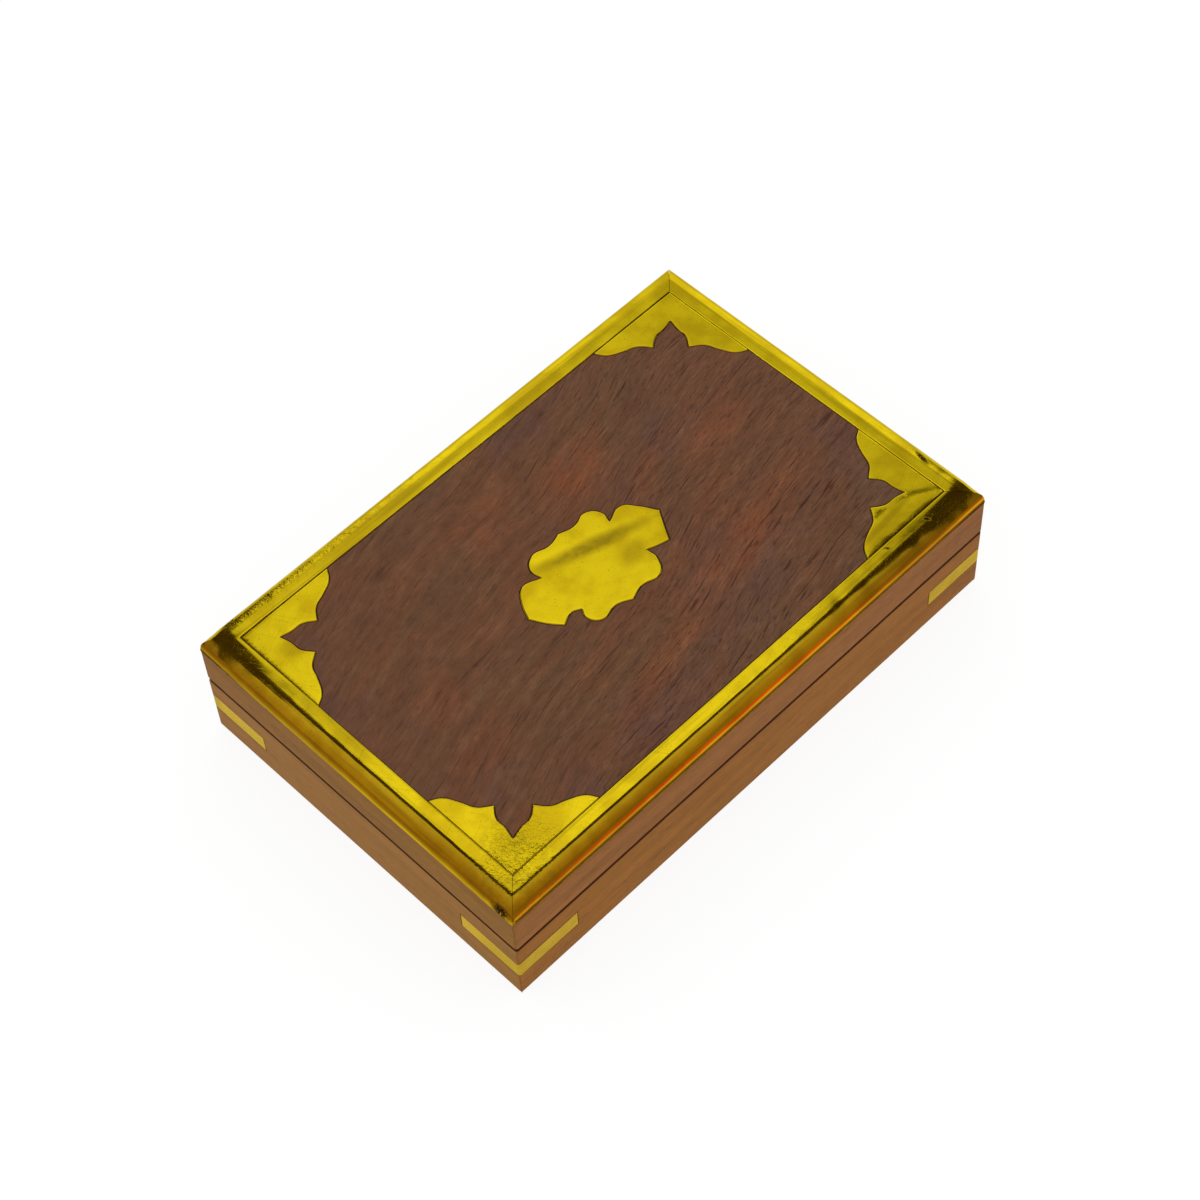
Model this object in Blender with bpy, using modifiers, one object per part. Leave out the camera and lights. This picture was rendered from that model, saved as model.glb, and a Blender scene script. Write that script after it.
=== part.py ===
"""Hinged box for two decks of playing cards: rosewood, with brass edging, inlays and corner straps.

Metres, +Z up. The origin is at the middle of the underside. +X runs along the long side, the front
is at -Y and the two butt hinges are at +Y. The lid is drawn closed.
"""

import math

import bmesh
import bpy
from mathutils import Matrix, Vector

# Overall sizes of the wood
BODY_LENGTH = 0.1521
BODY_WIDTH = 0.1013
BASE_HEIGHT = 0.0198
LID_HEIGHT = 0.0156
PARTING_GAP = 0.0004

# Wooden pieces
WALL = 0.0050
LID_PANEL_THICKNESS = 0.0038
BOTTOM_THICKNESS = 0.0030
BOTTOM_REBATE = 0.0025
DIVIDER_THICKNESS = 0.0040
DIVIDER_HEIGHT = 0.0140
DIVIDER_GROOVE = 0.0015
FINGER_NOTCH_RADIUS = 0.0110
ARRIS = 0.0003
FOOT_CHAMFER = 0.0008
RELIEF_DEPTH = 0.0015
RELIEF_HEIGHT = 0.0010

# Felt in the two card wells
FELT_THICKNESS = 0.0009

# Brass edging: bent sheet with a flat band on top and a quarter round over the edge
EDGING_WIDTH = 0.00695
EDGING_RADIUS = 0.0042
EDGING_SHEET = 0.0006
EDGING_PROUD = 0.00015

# Brass inlays in the lid, and the straps round the base's corners
INLAY_THICKNESS = 0.0010
STRAP_HEIGHT = 0.0051
STRAP_LEG = 0.0180
STRAP_THICKNESS = 0.0010
STRAP_MIDDLE_Z = 0.0109

# Butt hinges
HINGE_INSET = 0.0010
HINGE_END_DISTANCE = 0.0320
LEAF_LENGTH = 0.0200
LEAF_THICKNESS = 0.0008
LEAF_MARGIN = 0.0003
LEAF_HALF_GAP = 0.00015
KNUCKLE_RADIUS = 0.00125
MIDDLE_KNUCKLE = 0.0068
PIN_RADIUS = 0.0006
SCREW_SPACING = 0.0136
SCREW_EDGE_MARGIN = 0.00025
SCREW_SHANK_RADIUS = 0.00045
SCREW_HEAD_DEPTH = 0.0005
SCREW_LENGTH = 0.0052
SCREW_SLOT_WIDTH = 0.0003
SCREW_SLOT_DEPTH = 0.0002

# Clearances
GLUE_GAP = 0.0002
INLAY_GAP = 0.0003
LEAF_GAP = 0.0002
KNUCKLE_GAP = 0.00015
PIN_GAP = 0.00006
SCREW_GAP = 0.0001
SCREW_SINK = 0.00005

# Corner plate, as inward distances from the brass edging's inner corner along the two sides. This is
# the half nearer the long side, from its end to the notch on the diagonal. True marks a sharp point.
PLATE_HALF = (
    (0.0262, INLAY_GAP, True),
    (0.0246, 0.0028, False),
    (0.0210, 0.0048, False),
    (0.0177, 0.0062, False),
    (0.0152, 0.0092, True),
    (0.0123, 0.0073, False),
    (0.0094, 0.0071, False),
    (0.00635, 0.00635, True),
)

# Centre escutcheon, sawn by hand and so not quite symmetric. It runs clockwise from its left point.
ESCUTCHEON = (
    (-0.0212, 0.0003, True),
    (-0.0192, 0.0046, False),
    (-0.0163, 0.0075, False),
    (-0.0112, 0.0061, True),
    (-0.0116, 0.0097, False),
    (-0.0086, 0.0121, False),
    (-0.0038, 0.0112, False),
    (-0.0002, 0.0121, True),
    (0.0038, 0.0110, False),
    (0.0082, 0.0119, False),
    (0.0108, 0.0092, False),
    (0.0103, 0.0060, True),
    (0.0152, 0.0073, False),
    (0.0178, 0.0046, False),
    (0.0205, 0.0001, True),
    (0.0183, -0.0036, False),
    (0.0162, -0.0073, True),
    (0.0130, -0.0064, False),
    (0.0105, -0.0054, True),
    (0.0105, -0.0092, False),
    (0.0079, -0.0124, False),
    (0.0028, -0.0116, False),
    (-0.0011, -0.0128, True),
    (-0.0050, -0.0111, False),
    (-0.0099, -0.0116, False),
    (-0.0119, -0.0086, False),
    (-0.0109, -0.0063, True),
    (-0.0134, -0.0053, False),
    (-0.0167, -0.0066, True),
    (-0.0189, -0.0038, False),
)

# Heights that follow from the sizes above
LID_BOTTOM = BASE_HEIGHT + PARTING_GAP
BOX_TOP = LID_BOTTOM + LID_HEIGHT
PANEL_BOTTOM = BOX_TOP - LID_PANEL_THICKNESS
FLOOR_TOP = BOTTOM_THICKNESS
HINGE_Y = BODY_WIDTH / 2 - HINGE_INSET
HINGE_Z = BASE_HEIGHT + PARTING_GAP / 2
HINGE_X = BODY_LENGTH / 2 - HINGE_END_DISTANCE
INNER_LENGTH = BODY_LENGTH - 2 * WALL
INNER_WIDTH = BODY_WIDTH - 2 * WALL

# A leaf reaches from the pin almost across its wall, and its screws sit midway on what is flat
LEAF_REACH = WALL - HINGE_INSET - LEAF_MARGIN
LEAF_FLAT_START = KNUCKLE_RADIUS + KNUCKLE_GAP
SCREW_SETBACK = (LEAF_FLAT_START + LEAF_REACH) / 2
SCREW_HEAD_RADIUS = (LEAF_REACH - LEAF_FLAT_START) / 2 - SCREW_EDGE_MARGIN

QUARTER_TURNS = {"front": 0, "right": 1, "back": 2, "left": 3}
CORNERS = {"front_left": (-1, -1), "front_right": (1, -1), "back_left": (-1, 1), "back_right": (1, 1)}
HINGES = {"left": -1, "right": 1}
OVERCUT = 0.002
ARC_STEPS = 8
KNUCKLE_STEPS = 20
PIN_STEPS = 16
SCREW_STEPS = 12

# Local X, Y, Z of a drawn outline become the box's Y, Z, X: outlines are cross-sections along X
ALONG_X = Matrix(((0, 0, 1, 0), (1, 0, 0, 0), (0, 1, 0, 0), (0, 0, 0, 1)))


def clear_scene():
    for obj in list(bpy.data.objects):
        bpy.data.objects.remove(obj, do_unlink=True)


def make_collection(name):
    collection = bpy.data.collections.new(name)
    bpy.context.scene.collection.children.link(collection)
    return collection


def make_material(name, color, roughness, metallic):
    material = bpy.data.materials.new(name)
    material.use_nodes = True
    shader = material.node_tree.nodes["Principled BSDF"]
    shader.inputs["Base Color"].default_value = (*color, 1.0)
    shader.inputs["Roughness"].default_value = roughness
    shader.inputs["Metallic"].default_value = metallic
    return material


clear_scene()
PARTS = make_collection("playing_card_box")
CUTTERS = make_collection("cutters")
LID_WOOD = make_material("lid_rosewood", (0.13, 0.058, 0.031), 0.45, 0.0)
SIDE_WOOD = make_material("side_rosewood", (0.27, 0.115, 0.045), 0.5, 0.0)
INSIDE_WOOD = make_material("inside_rosewood", (0.22, 0.10, 0.045), 0.6, 0.0)
BRASS = make_material("brass", (0.72, 0.50, 0.05), 0.25, 1.0)
FELT = make_material("felt", (0.16, 0.012, 0.02), 0.95, 0.0)
BASE = bpy.data.objects.new("base", None)
LID = bpy.data.objects.new("lid", None)
LID.location = (0, HINGE_Y, HINGE_Z)
for pivot in (BASE, LID):
    PARTS.objects.link(pivot)
bpy.context.view_layer.update()


def add_object(name, mesh, material, pivot):
    """Link a piece whose mesh is in box coordinates, with its origin at its pivot."""
    mesh.materials.clear()
    mesh.materials.append(material)
    obj = bpy.data.objects.new(name, mesh)
    PARTS.objects.link(obj)
    mesh.transform(Matrix.Translation(-pivot.location))
    obj.parent = pivot
    return obj


def add_cutter(name, mesh):
    obj = bpy.data.objects.new(name, mesh)
    CUTTERS.objects.link(obj)
    obj.hide_render = True
    obj.display_type = "WIRE"
    return obj


def cut(obj, *cutters):
    for cutter in cutters:
        modifier = obj.modifiers.new(cutter.name, "BOOLEAN")
        modifier.operation = "DIFFERENCE"
        modifier.object = cutter


def box_mesh(name, low, high):
    bm = bmesh.new()
    bmesh.ops.create_cube(bm, size=1.0)
    size = Vector(high) - Vector(low)
    bmesh.ops.scale(bm, vec=size, verts=bm.verts)
    bmesh.ops.translate(bm, vec=Vector(low) + size / 2, verts=bm.verts)
    mesh = bpy.data.meshes.new(name)
    bm.to_mesh(mesh)
    bm.free()
    return mesh


def cylinder_mesh(name, radius, length, steps, matrix, top_radius=None):
    """A closed cylinder along the matrix's Z, or a cone when its other end has its own radius."""
    bm = bmesh.new()
    bmesh.ops.create_cone(
        bm,
        cap_ends=True,
        segments=steps,
        radius1=radius,
        radius2=radius if top_radius is None else top_radius,
        depth=length,
        matrix=matrix,
    )
    mesh = bpy.data.meshes.new(name)
    bm.to_mesh(mesh)
    bm.free()
    mesh.shade_smooth()
    mesh.set_sharp_from_angle(angle=math.radians(40))
    return mesh


def arc(centre_x, centre_y, radius, start_deg, end_deg, steps):
    """Points along a round stretch, both ends included."""
    points = []
    for step in range(steps + 1):
        angle = math.radians(start_deg + (end_deg - start_deg) * step / steps)
        points.append((centre_x + radius * math.cos(angle), centre_y + radius * math.sin(angle)))
    return points


def add_poly_spline(curve, outline):
    spline = curve.splines.new("POLY")
    spline.points.add(len(outline) - 1)
    for point, (x, y) in zip(spline.points, outline):
        point.co = (x, y, 0, 1)
    spline.use_cyclic_u = True


def add_smooth_spline(curve, outline):
    """A Bezier outline that is smooth except at the points marked as sharp."""
    spline = curve.splines.new("BEZIER")
    spline.bezier_points.add(len(outline) - 1)
    for point, (x, y, sharp) in zip(spline.bezier_points, outline):
        point.co = (x, y, 0)
        handle = "VECTOR" if sharp else "AUTO"
        point.handle_left_type = handle
        point.handle_right_type = handle
    spline.use_cyclic_u = True
    spline.resolution_u = 4


def outline_curve(name, half_depth):
    curve = bpy.data.curves.new(name, "CURVE")
    curve.dimensions = "2D"
    curve.fill_mode = "BOTH"
    curve.extrude = half_depth
    return curve


def curve_to_mesh(curve, matrix):
    """The filled and extruded curve as one closed mesh, moved by the matrix."""
    obj = bpy.data.objects.new(curve.name, curve)
    CUTTERS.objects.link(obj)
    bpy.context.view_layer.update()
    evaluated = obj.evaluated_get(bpy.context.evaluated_depsgraph_get())
    mesh = bpy.data.meshes.new_from_object(evaluated)
    bpy.data.objects.remove(obj, do_unlink=True)
    mesh.transform(matrix)
    bm = bmesh.new()
    bm.from_mesh(mesh)
    bmesh.ops.remove_doubles(bm, verts=bm.verts, dist=1e-6)
    bmesh.ops.recalc_face_normals(bm, faces=bm.faces)
    bm.to_mesh(mesh)
    bm.free()
    return mesh


def bar_mesh(name, outline, length):
    """A straight bar along X with the given cross-section in Y and Z."""
    curve = outline_curve(name, length / 2)
    add_poly_spline(curve, outline)
    return curve_to_mesh(curve, ALONG_X)


def side_frame(side):
    """A side's length, the distance from the middle to its outer face, and its turn from the front."""
    turns = QUARTER_TURNS[side]
    along, across = (BODY_LENGTH, BODY_WIDTH) if turns % 2 == 0 else (BODY_WIDTH, BODY_LENGTH)
    return along, across / 2, Matrix.Rotation(turns * math.pi / 2, 4, "Z")


def mitred_bar(name, side, outline, gap):
    """A bar along one side, cut at 45 degrees at both ends. The outline is (inward distance, height)."""
    along, offset, turn = side_frame(side)
    mesh = bar_mesh(name, outline, along + 2 * OVERCUT)
    mesh.transform(Matrix.Translation((0, -offset, 0)))
    bm = bmesh.new()
    bm.from_mesh(mesh)
    for end in (-1, 1):
        result = bmesh.ops.bisect_plane(
            bm,
            geom=bm.verts[:] + bm.edges[:] + bm.faces[:],
            plane_co=(end * (along / 2 - gap / math.sqrt(2)), -offset, 0),
            plane_no=(end, 1, 0),
            clear_outer=True,
        )
        rim = [edge for edge in result["geom_cut"] if isinstance(edge, bmesh.types.BMEdge)]
        bmesh.ops.triangle_fill(bm, use_beauty=True, edges=rim)
    bmesh.ops.recalc_face_normals(bm, faces=bm.faces)
    bm.to_mesh(mesh)
    bm.free()
    mesh.transform(turn)
    return mesh


def wall_outline():
    """Base wall: chamfered foot, softened rim, and a rebate for the bottom panel."""
    rebate = WALL - BOTTOM_REBATE
    return [
        (FOOT_CHAMFER, 0),
        (rebate, 0),
        (rebate, BOTTOM_THICKNESS + GLUE_GAP),
        (WALL, BOTTOM_THICKNESS + GLUE_GAP),
        (WALL, BASE_HEIGHT - ARRIS),
        (WALL - ARRIS, BASE_HEIGHT),
        (ARRIS, BASE_HEIGHT),
        (0, BASE_HEIGHT - ARRIS),
        (0, FOOT_CHAMFER),
    ]


def rail_outline():
    """Lid rail: softened lower edges, and a step at its top where the edging comes down over it."""
    step_in = EDGING_SHEET - EDGING_PROUD + GLUE_GAP
    step_z = BOX_TOP - EDGING_RADIUS - GLUE_GAP
    top = PANEL_BOTTOM - GLUE_GAP
    outline = [
        (0, LID_BOTTOM + ARRIS),
        (ARRIS, LID_BOTTOM),
        (WALL - ARRIS, LID_BOTTOM),
        (WALL, LID_BOTTOM + ARRIS),
        (WALL, top),
    ]
    if step_z < top:
        return outline + [(step_in, top), (step_in, step_z), (0, step_z)]
    return outline + [(0, top)]


def edging_outline():
    """Bent sheet: quarter round from the side onto the lid, then the flat band."""
    centre = EDGING_RADIUS - EDGING_PROUD
    inner_line = EDGING_WIDTH - EDGING_PROUD
    low = BOX_TOP - EDGING_RADIUS
    outer = arc(centre, low, EDGING_RADIUS, 180, 90, ARC_STEPS)
    inner = arc(centre, low, EDGING_RADIUS - EDGING_SHEET, 90, 180, ARC_STEPS)
    return outer + [(inner_line, BOX_TOP), (inner_line, BOX_TOP - EDGING_SHEET)] + inner


def edging_bed_outline():
    """What is cut from the lid panel's edge, so that the bent sheet lies on it."""
    centre = EDGING_RADIUS - EDGING_PROUD
    low = BOX_TOP - EDGING_RADIUS
    radius = EDGING_RADIUS - EDGING_SHEET - GLUE_GAP
    plateau = EDGING_WIDTH - EDGING_PROUD + INLAY_GAP
    bed = arc(centre, low, radius, 180, 90, ARC_STEPS)
    foot = [(-OVERCUT, low - GLUE_GAP), (centre - radius, low - GLUE_GAP)]
    head = [(plateau, low + radius), (plateau, BOX_TOP + OVERCUT), (-OVERCUT, BOX_TOP + OVERCUT)]
    return foot + bed + head


def relief_outline():
    """The V along the back at the parting line, which lets the lid swing past upright."""
    slope = RELIEF_HEIGHT / RELIEF_DEPTH
    reach = RELIEF_DEPTH + OVERCUT
    root = PARTING_GAP / 2
    back = BODY_WIDTH / 2
    return [
        (back - RELIEF_DEPTH, HINGE_Z - root),
        (back + OVERCUT, HINGE_Z - root - slope * reach),
        (back + OVERCUT, HINGE_Z + root + slope * reach),
        (back - RELIEF_DEPTH, HINGE_Z + root),
    ]


def leaf_outline(level):
    """Cross-section of a hinge leaf about the pin: level is 1 for the lid's leaf and -1 for the base's."""
    near = LEAF_HALF_GAP
    far = LEAF_HALF_GAP + LEAF_THICKNESS
    start = 180 + math.degrees(math.asin(near / KNUCKLE_RADIUS))
    end = math.degrees(math.asin(far / KNUCKLE_RADIUS)) - 180
    barrel = arc(0, 0, KNUCKLE_RADIUS, start, end, KNUCKLE_STEPS)
    outline = [(-LEAF_REACH, -near)] + barrel + [(-LEAF_REACH, -far)]
    return [(y, -level * z) for y, z in outline]


def strap_outline(gap, overcut):
    """Plan of an L strap at the front left corner, or of its recess when a gap and overcut are given."""
    left = -BODY_LENGTH / 2 - overcut
    front = -BODY_WIDTH / 2 - overcut
    end_x = -BODY_LENGTH / 2 + STRAP_LEG + gap
    end_y = -BODY_WIDTH / 2 + STRAP_LEG + gap
    inner_x = -BODY_LENGTH / 2 + STRAP_THICKNESS + gap
    inner_y = -BODY_WIDTH / 2 + STRAP_THICKNESS + gap
    outer = [(left, front), (end_x, front), (end_x, inner_y)]
    inner = [(inner_x, inner_y), (inner_x, end_y), (left, end_y)]
    return outer + inner


def strap_mesh(name, signs, gap, overcut):
    curve = outline_curve(name, STRAP_HEIGHT / 2 + gap)
    add_poly_spline(curve, [(-signs[0] * x, -signs[1] * y) for x, y in strap_outline(gap, overcut)])
    return curve_to_mesh(curve, Matrix.Translation((0, 0, STRAP_MIDDLE_Z)))


def plate_points(signs):
    """Whole outline of a corner plate in box coordinates."""
    mirrored = [(v, u, sharp) for u, v, sharp in reversed(PLATE_HALF[:-1])]
    points = [(INLAY_GAP, INLAY_GAP, True), *PLATE_HALF, *mirrored]
    corner_x = BODY_LENGTH / 2 + EDGING_PROUD - EDGING_WIDTH
    corner_y = BODY_WIDTH / 2 + EDGING_PROUD - EDGING_WIDTH
    return [(signs[0] * (corner_x - u), signs[1] * (corner_y - v), sharp) for u, v, sharp in points]


def is_clockwise(points):
    area = 0
    for (x0, y0, _), (x1, y1, _) in zip(points, points[1:] + points[:1]):
        area += x0 * y1 - x1 * y0
    return area < 0


def inlay_mesh(name, points, widen, low, high):
    """A flat inlay between two heights, or its pocket when its outline is widened."""
    ordered = list(reversed(points)) if is_clockwise(points) else points
    curve = outline_curve(name, (high - low) / 2)
    curve.offset = widen
    add_smooth_spline(curve, ordered)
    return curve_to_mesh(curve, Matrix.Translation((0, 0, (high + low) / 2)))


def hinge_cutters():
    """Mortises for the leaves and barrels, and pilot holes for the screws."""
    cutters = []
    deep = LEAF_HALF_GAP + LEAF_THICKNESS + LEAF_GAP
    for name, sign in HINGES.items():
        middle = sign * HINGE_X
        half = LEAF_LENGTH / 2 + LEAF_GAP
        low = (middle - half, HINGE_Y - LEAF_REACH - LEAF_GAP, HINGE_Z - deep)
        high = (middle + half, BODY_WIDTH / 2 + OVERCUT, HINGE_Z + deep)
        cutters.append(add_cutter(f"leaf_mortise_{name}", box_mesh("leaf_mortise", low, high)))
        place = Matrix.Translation((middle, HINGE_Y, HINGE_Z)) @ Matrix.Rotation(math.pi / 2, 4, "Y")
        barrel = cylinder_mesh(
            "barrel_recess", KNUCKLE_RADIUS + 2 * LEAF_GAP, 2 * half, KNUCKLE_STEPS, place
        )
        cutters.append(add_cutter(f"barrel_recess_{name}", barrel))
        for x in screw_places(sign):
            place = Matrix.Translation((x, HINGE_Y - SCREW_SETBACK, HINGE_Z))
            length = 2 * (LEAF_HALF_GAP + SCREW_LENGTH + LEAF_GAP)
            pilot = cylinder_mesh("pilot", SCREW_SHANK_RADIUS + SCREW_GAP, length, SCREW_STEPS, place)
            cutters.append(add_cutter("pilot_hole", pilot))
    return cutters


def screw_places(sign):
    middle = sign * HINGE_X
    return (middle - SCREW_SPACING / 2, middle + SCREW_SPACING / 2)


def make_base(relief, hinge_cuts):
    recesses = {}
    for corner, signs in CORNERS.items():
        recess = strap_mesh("strap_recess", signs, GLUE_GAP, OVERCUT)
        recesses[corner] = add_cutter(f"strap_recess_{corner}", recess)
        # The strap itself ends flush with the wood
        add_object(f"base_corner_strap_{corner}", strap_mesh("strap", signs, 0, 0), BRASS, BASE)

    groove_x = DIVIDER_THICKNESS / 2 + GLUE_GAP
    groove_y = INNER_WIDTH / 2 + DIVIDER_GROOVE
    groove = add_cutter(
        "divider_groove",
        box_mesh("groove", (-groove_x, -groove_y, 0), (groove_x, groove_y, BASE_HEIGHT + OVERCUT)),
    )
    for side in QUARTER_TURNS:
        mesh = mitred_bar(f"base_{side}_wall", side, wall_outline(), GLUE_GAP / 2)
        wall = add_object(f"base_{side}_wall", mesh, SIDE_WOOD, BASE)
        cut(wall, *[cutter for corner, cutter in recesses.items() if side in corner])
        if side != "front":
            cut(wall, relief)
        if side in ("front", "back"):
            cut(wall, groove)
        if side == "back":
            cut(wall, *hinge_cuts)

    reach_x = INNER_LENGTH / 2 + BOTTOM_REBATE - GLUE_GAP
    reach_y = INNER_WIDTH / 2 + BOTTOM_REBATE - GLUE_GAP
    bottom = box_mesh("base_bottom_panel", (-reach_x, -reach_y, 0), (reach_x, reach_y, BOTTOM_THICKNESS))
    add_object("base_bottom_panel", bottom, INSIDE_WOOD, BASE)
    make_divider()
    make_felt()


def make_divider():
    """Partition let into the front and back walls, with a finger notch in its top edge."""
    half_x = DIVIDER_THICKNESS / 2
    half_y = INNER_WIDTH / 2 + DIVIDER_GROOVE - GLUE_GAP
    low_z = FLOOR_TOP + GLUE_GAP
    top_z = low_z + DIVIDER_HEIGHT
    mesh = box_mesh("base_divider", (-half_x, -half_y, low_z), (half_x, half_y, top_z))
    divider = add_object("base_divider", mesh, INSIDE_WOOD, BASE)
    place = Matrix.Translation((0, 0, top_z)) @ Matrix.Rotation(math.pi / 2, 4, "Y")
    notch = cylinder_mesh("finger_notch", FINGER_NOTCH_RADIUS, DIVIDER_THICKNESS + OVERCUT, 32, place)
    cut(divider, add_cutter("finger_notch", notch))


def make_felt():
    """One pad on the floor of each card well."""
    low_z = FLOOR_TOP + GLUE_GAP
    near = DIVIDER_THICKNESS / 2 + GLUE_GAP
    far = INNER_LENGTH / 2 - GLUE_GAP
    half_y = INNER_WIDTH / 2 - GLUE_GAP
    for name, (x0, x1) in {"left": (-far, -near), "right": (near, far)}.items():
        mesh = box_mesh("felt", (x0, -half_y, low_z), (x1, half_y, low_z + FELT_THICKNESS))
        add_object(f"card_well_felt_{name}", mesh, FELT, BASE)


def make_lid(relief, hinge_cuts):
    for side in QUARTER_TURNS:
        mesh = mitred_bar(f"lid_{side}_rail", side, rail_outline(), GLUE_GAP / 2)
        rail = add_object(f"lid_{side}_rail", mesh, SIDE_WOOD, LID)
        if side != "front":
            cut(rail, relief)
        if side == "back":
            cut(rail, *hinge_cuts)
        mesh = mitred_bar(f"lid_{side}_edging", side, edging_outline(), GLUE_GAP / 2)
        add_object(f"lid_{side}_edging", mesh, BRASS, LID)

    half_x = BODY_LENGTH / 2
    half_y = BODY_WIDTH / 2
    mesh = box_mesh("lid_panel", (-half_x, -half_y, PANEL_BOTTOM), (half_x, half_y, BOX_TOP))
    panel = add_object("lid_panel", mesh, LID_WOOD, LID)
    for side in QUARTER_TURNS:
        along, offset, turn = side_frame(side)
        bed = bar_mesh("edging_bed", edging_bed_outline(), along + 4 * OVERCUT)
        bed.transform(turn @ Matrix.Translation((0, -offset, 0)))
        cut(panel, add_cutter(f"edging_bed_{side}", bed))

    low_z = BOX_TOP - INLAY_THICKNESS
    pocket_z = low_z - GLUE_GAP
    inlays = {"centre_escutcheon": list(ESCUTCHEON)}
    for corner, signs in CORNERS.items():
        inlays[f"corner_plate_{corner}"] = plate_points(signs)
    for name, points in inlays.items():
        add_object(name, inlay_mesh(name, points, 0, low_z, BOX_TOP), BRASS, LID)
        pocket = inlay_mesh("pocket", points, INLAY_GAP, pocket_z, BOX_TOP + OVERCUT)
        cut(panel, add_cutter(f"{name}_pocket", pocket))


def make_screw(name, x, level, pivot):
    """Countersunk slotted screw, turned about its axis. Its head faces the other leaf."""
    mesh = bpy.data.meshes.new(name)
    profile = (
        (0, 0),
        (SCREW_HEAD_RADIUS, 0),
        (SCREW_SHANK_RADIUS, -SCREW_HEAD_DEPTH),
        (SCREW_SHANK_RADIUS, SCREW_SHANK_RADIUS * 2 - SCREW_LENGTH),
        (0, -SCREW_LENGTH),
    )
    vertices = [(radius, 0, z) for radius, z in profile]
    mesh.from_pydata(vertices, [(i, i + 1) for i in range(len(vertices) - 1)], [])
    screw = bpy.data.objects.new(name, mesh)
    mesh.materials.append(BRASS)
    PARTS.objects.link(screw)
    turned = screw.modifiers.new("turned", "SCREW")
    turned.steps = SCREW_STEPS
    turned.render_steps = SCREW_STEPS
    turned.use_merge_vertices = True
    turned.merge_threshold = 0.00001
    screw.parent = pivot
    head_z = HINGE_Z + level * (LEAF_HALF_GAP + SCREW_SINK)
    screw.location = Vector((x, HINGE_Y - SCREW_SETBACK, head_z)) - pivot.location
    if level > 0:
        screw.rotation_euler = (math.pi, 0, 0)
    slot_half = (SCREW_HEAD_RADIUS * 1.5, SCREW_SLOT_WIDTH / 2, SCREW_SLOT_DEPTH)
    slot = add_cutter(f"{name}_slot", box_mesh("slot", [-size for size in slot_half], slot_half))
    slot.location = (x, HINGE_Y - SCREW_SETBACK, head_z)
    cut(screw, slot)


def countersinks(sign, level):
    """Countersunk holes through a leaf: a cone for the head, and a hole for the shank."""
    sinks = []
    hole_radius = SCREW_SHANK_RADIUS + SCREW_GAP
    slope = (SCREW_HEAD_RADIUS - SCREW_SHANK_RADIUS) / SCREW_HEAD_DEPTH
    mouth_radius = SCREW_HEAD_RADIUS + SCREW_GAP + slope * (SCREW_SINK + OVERCUT)
    depth = (mouth_radius - hole_radius) / slope
    mouth_z = LEAF_HALF_GAP - OVERCUT
    flip = Matrix.Rotation(0 if level > 0 else math.pi, 4, "X")
    for x in screw_places(sign):
        place = Matrix.Translation((x, HINGE_Y - SCREW_SETBACK, HINGE_Z))
        cone_place = place @ flip @ Matrix.Translation((0, 0, mouth_z + depth / 2))
        cone = cylinder_mesh("cone", mouth_radius, depth, SCREW_STEPS, cone_place, hole_radius)
        sinks.append(add_cutter("countersink", cone))
        through = cylinder_mesh("hole", hole_radius, LEAF_THICKNESS + 2 * OVERCUT, SCREW_STEPS, place)
        sinks.append(add_cutter("leaf_hole", through))
    return sinks


def make_leaf(name, sign, level, pivot):
    """Leaf and its knuckles from one bent section, notched where the other leaf's knuckles turn."""
    curve = outline_curve(name, LEAF_LENGTH / 2)
    add_poly_spline(curve, leaf_outline(level))
    add_poly_spline(curve, arc(0, 0, PIN_RADIUS + PIN_GAP, 0, 360, PIN_STEPS)[:-1])
    place = Matrix.Translation((sign * HINGE_X, HINGE_Y, HINGE_Z))
    leaf = add_object(name, curve_to_mesh(curve, place @ ALONG_X), BRASS, pivot)
    middle_half = MIDDLE_KNUCKLE / 2
    if level < 0:
        notches = [(-middle_half - KNUCKLE_GAP, middle_half + KNUCKLE_GAP)]
    else:
        outer = LEAF_LENGTH / 2 + OVERCUT
        notches = [(-outer, -middle_half), (middle_half, outer)]
    for x0, x1 in notches:
        low = (x0, -LEAF_FLAT_START, -2 * LEAF_FLAT_START)
        mesh = box_mesh("notch", low, (x1, 2 * LEAF_FLAT_START, 2 * LEAF_FLAT_START))
        mesh.transform(place)
        cut(leaf, add_cutter("knuckle_notch", mesh))
    cut(leaf, *countersinks(sign, level))


def make_hinges():
    for name, sign in HINGES.items():
        make_leaf(f"hinge_{name}_base_leaf", sign, -1, BASE)
        make_leaf(f"hinge_{name}_lid_leaf", sign, 1, LID)
        place = Matrix.Translation((sign * HINGE_X, HINGE_Y, HINGE_Z)) @ Matrix.Rotation(math.pi / 2, 4, "Y")
        pin = cylinder_mesh("pin", PIN_RADIUS, LEAF_LENGTH, PIN_STEPS, place)
        add_object(f"hinge_{name}_pin", pin, BRASS, BASE)
        for number, x in enumerate(screw_places(sign), start=1):
            make_screw(f"hinge_{name}_base_screw_{number}", x, -1, BASE)
            make_screw(f"hinge_{name}_lid_screw_{number}", x, 1, LID)


def main():
    relief = add_cutter("back_relief", bar_mesh("relief", relief_outline(), BODY_LENGTH + 2 * OVERCUT))
    hinge_cuts = hinge_cutters()
    make_base(relief, hinge_cuts)
    make_lid(relief, hinge_cuts)
    make_hinges()


main()
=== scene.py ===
import math

import bmesh
import bpy
from mathutils import Matrix, Vector, geometry, noise


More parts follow.
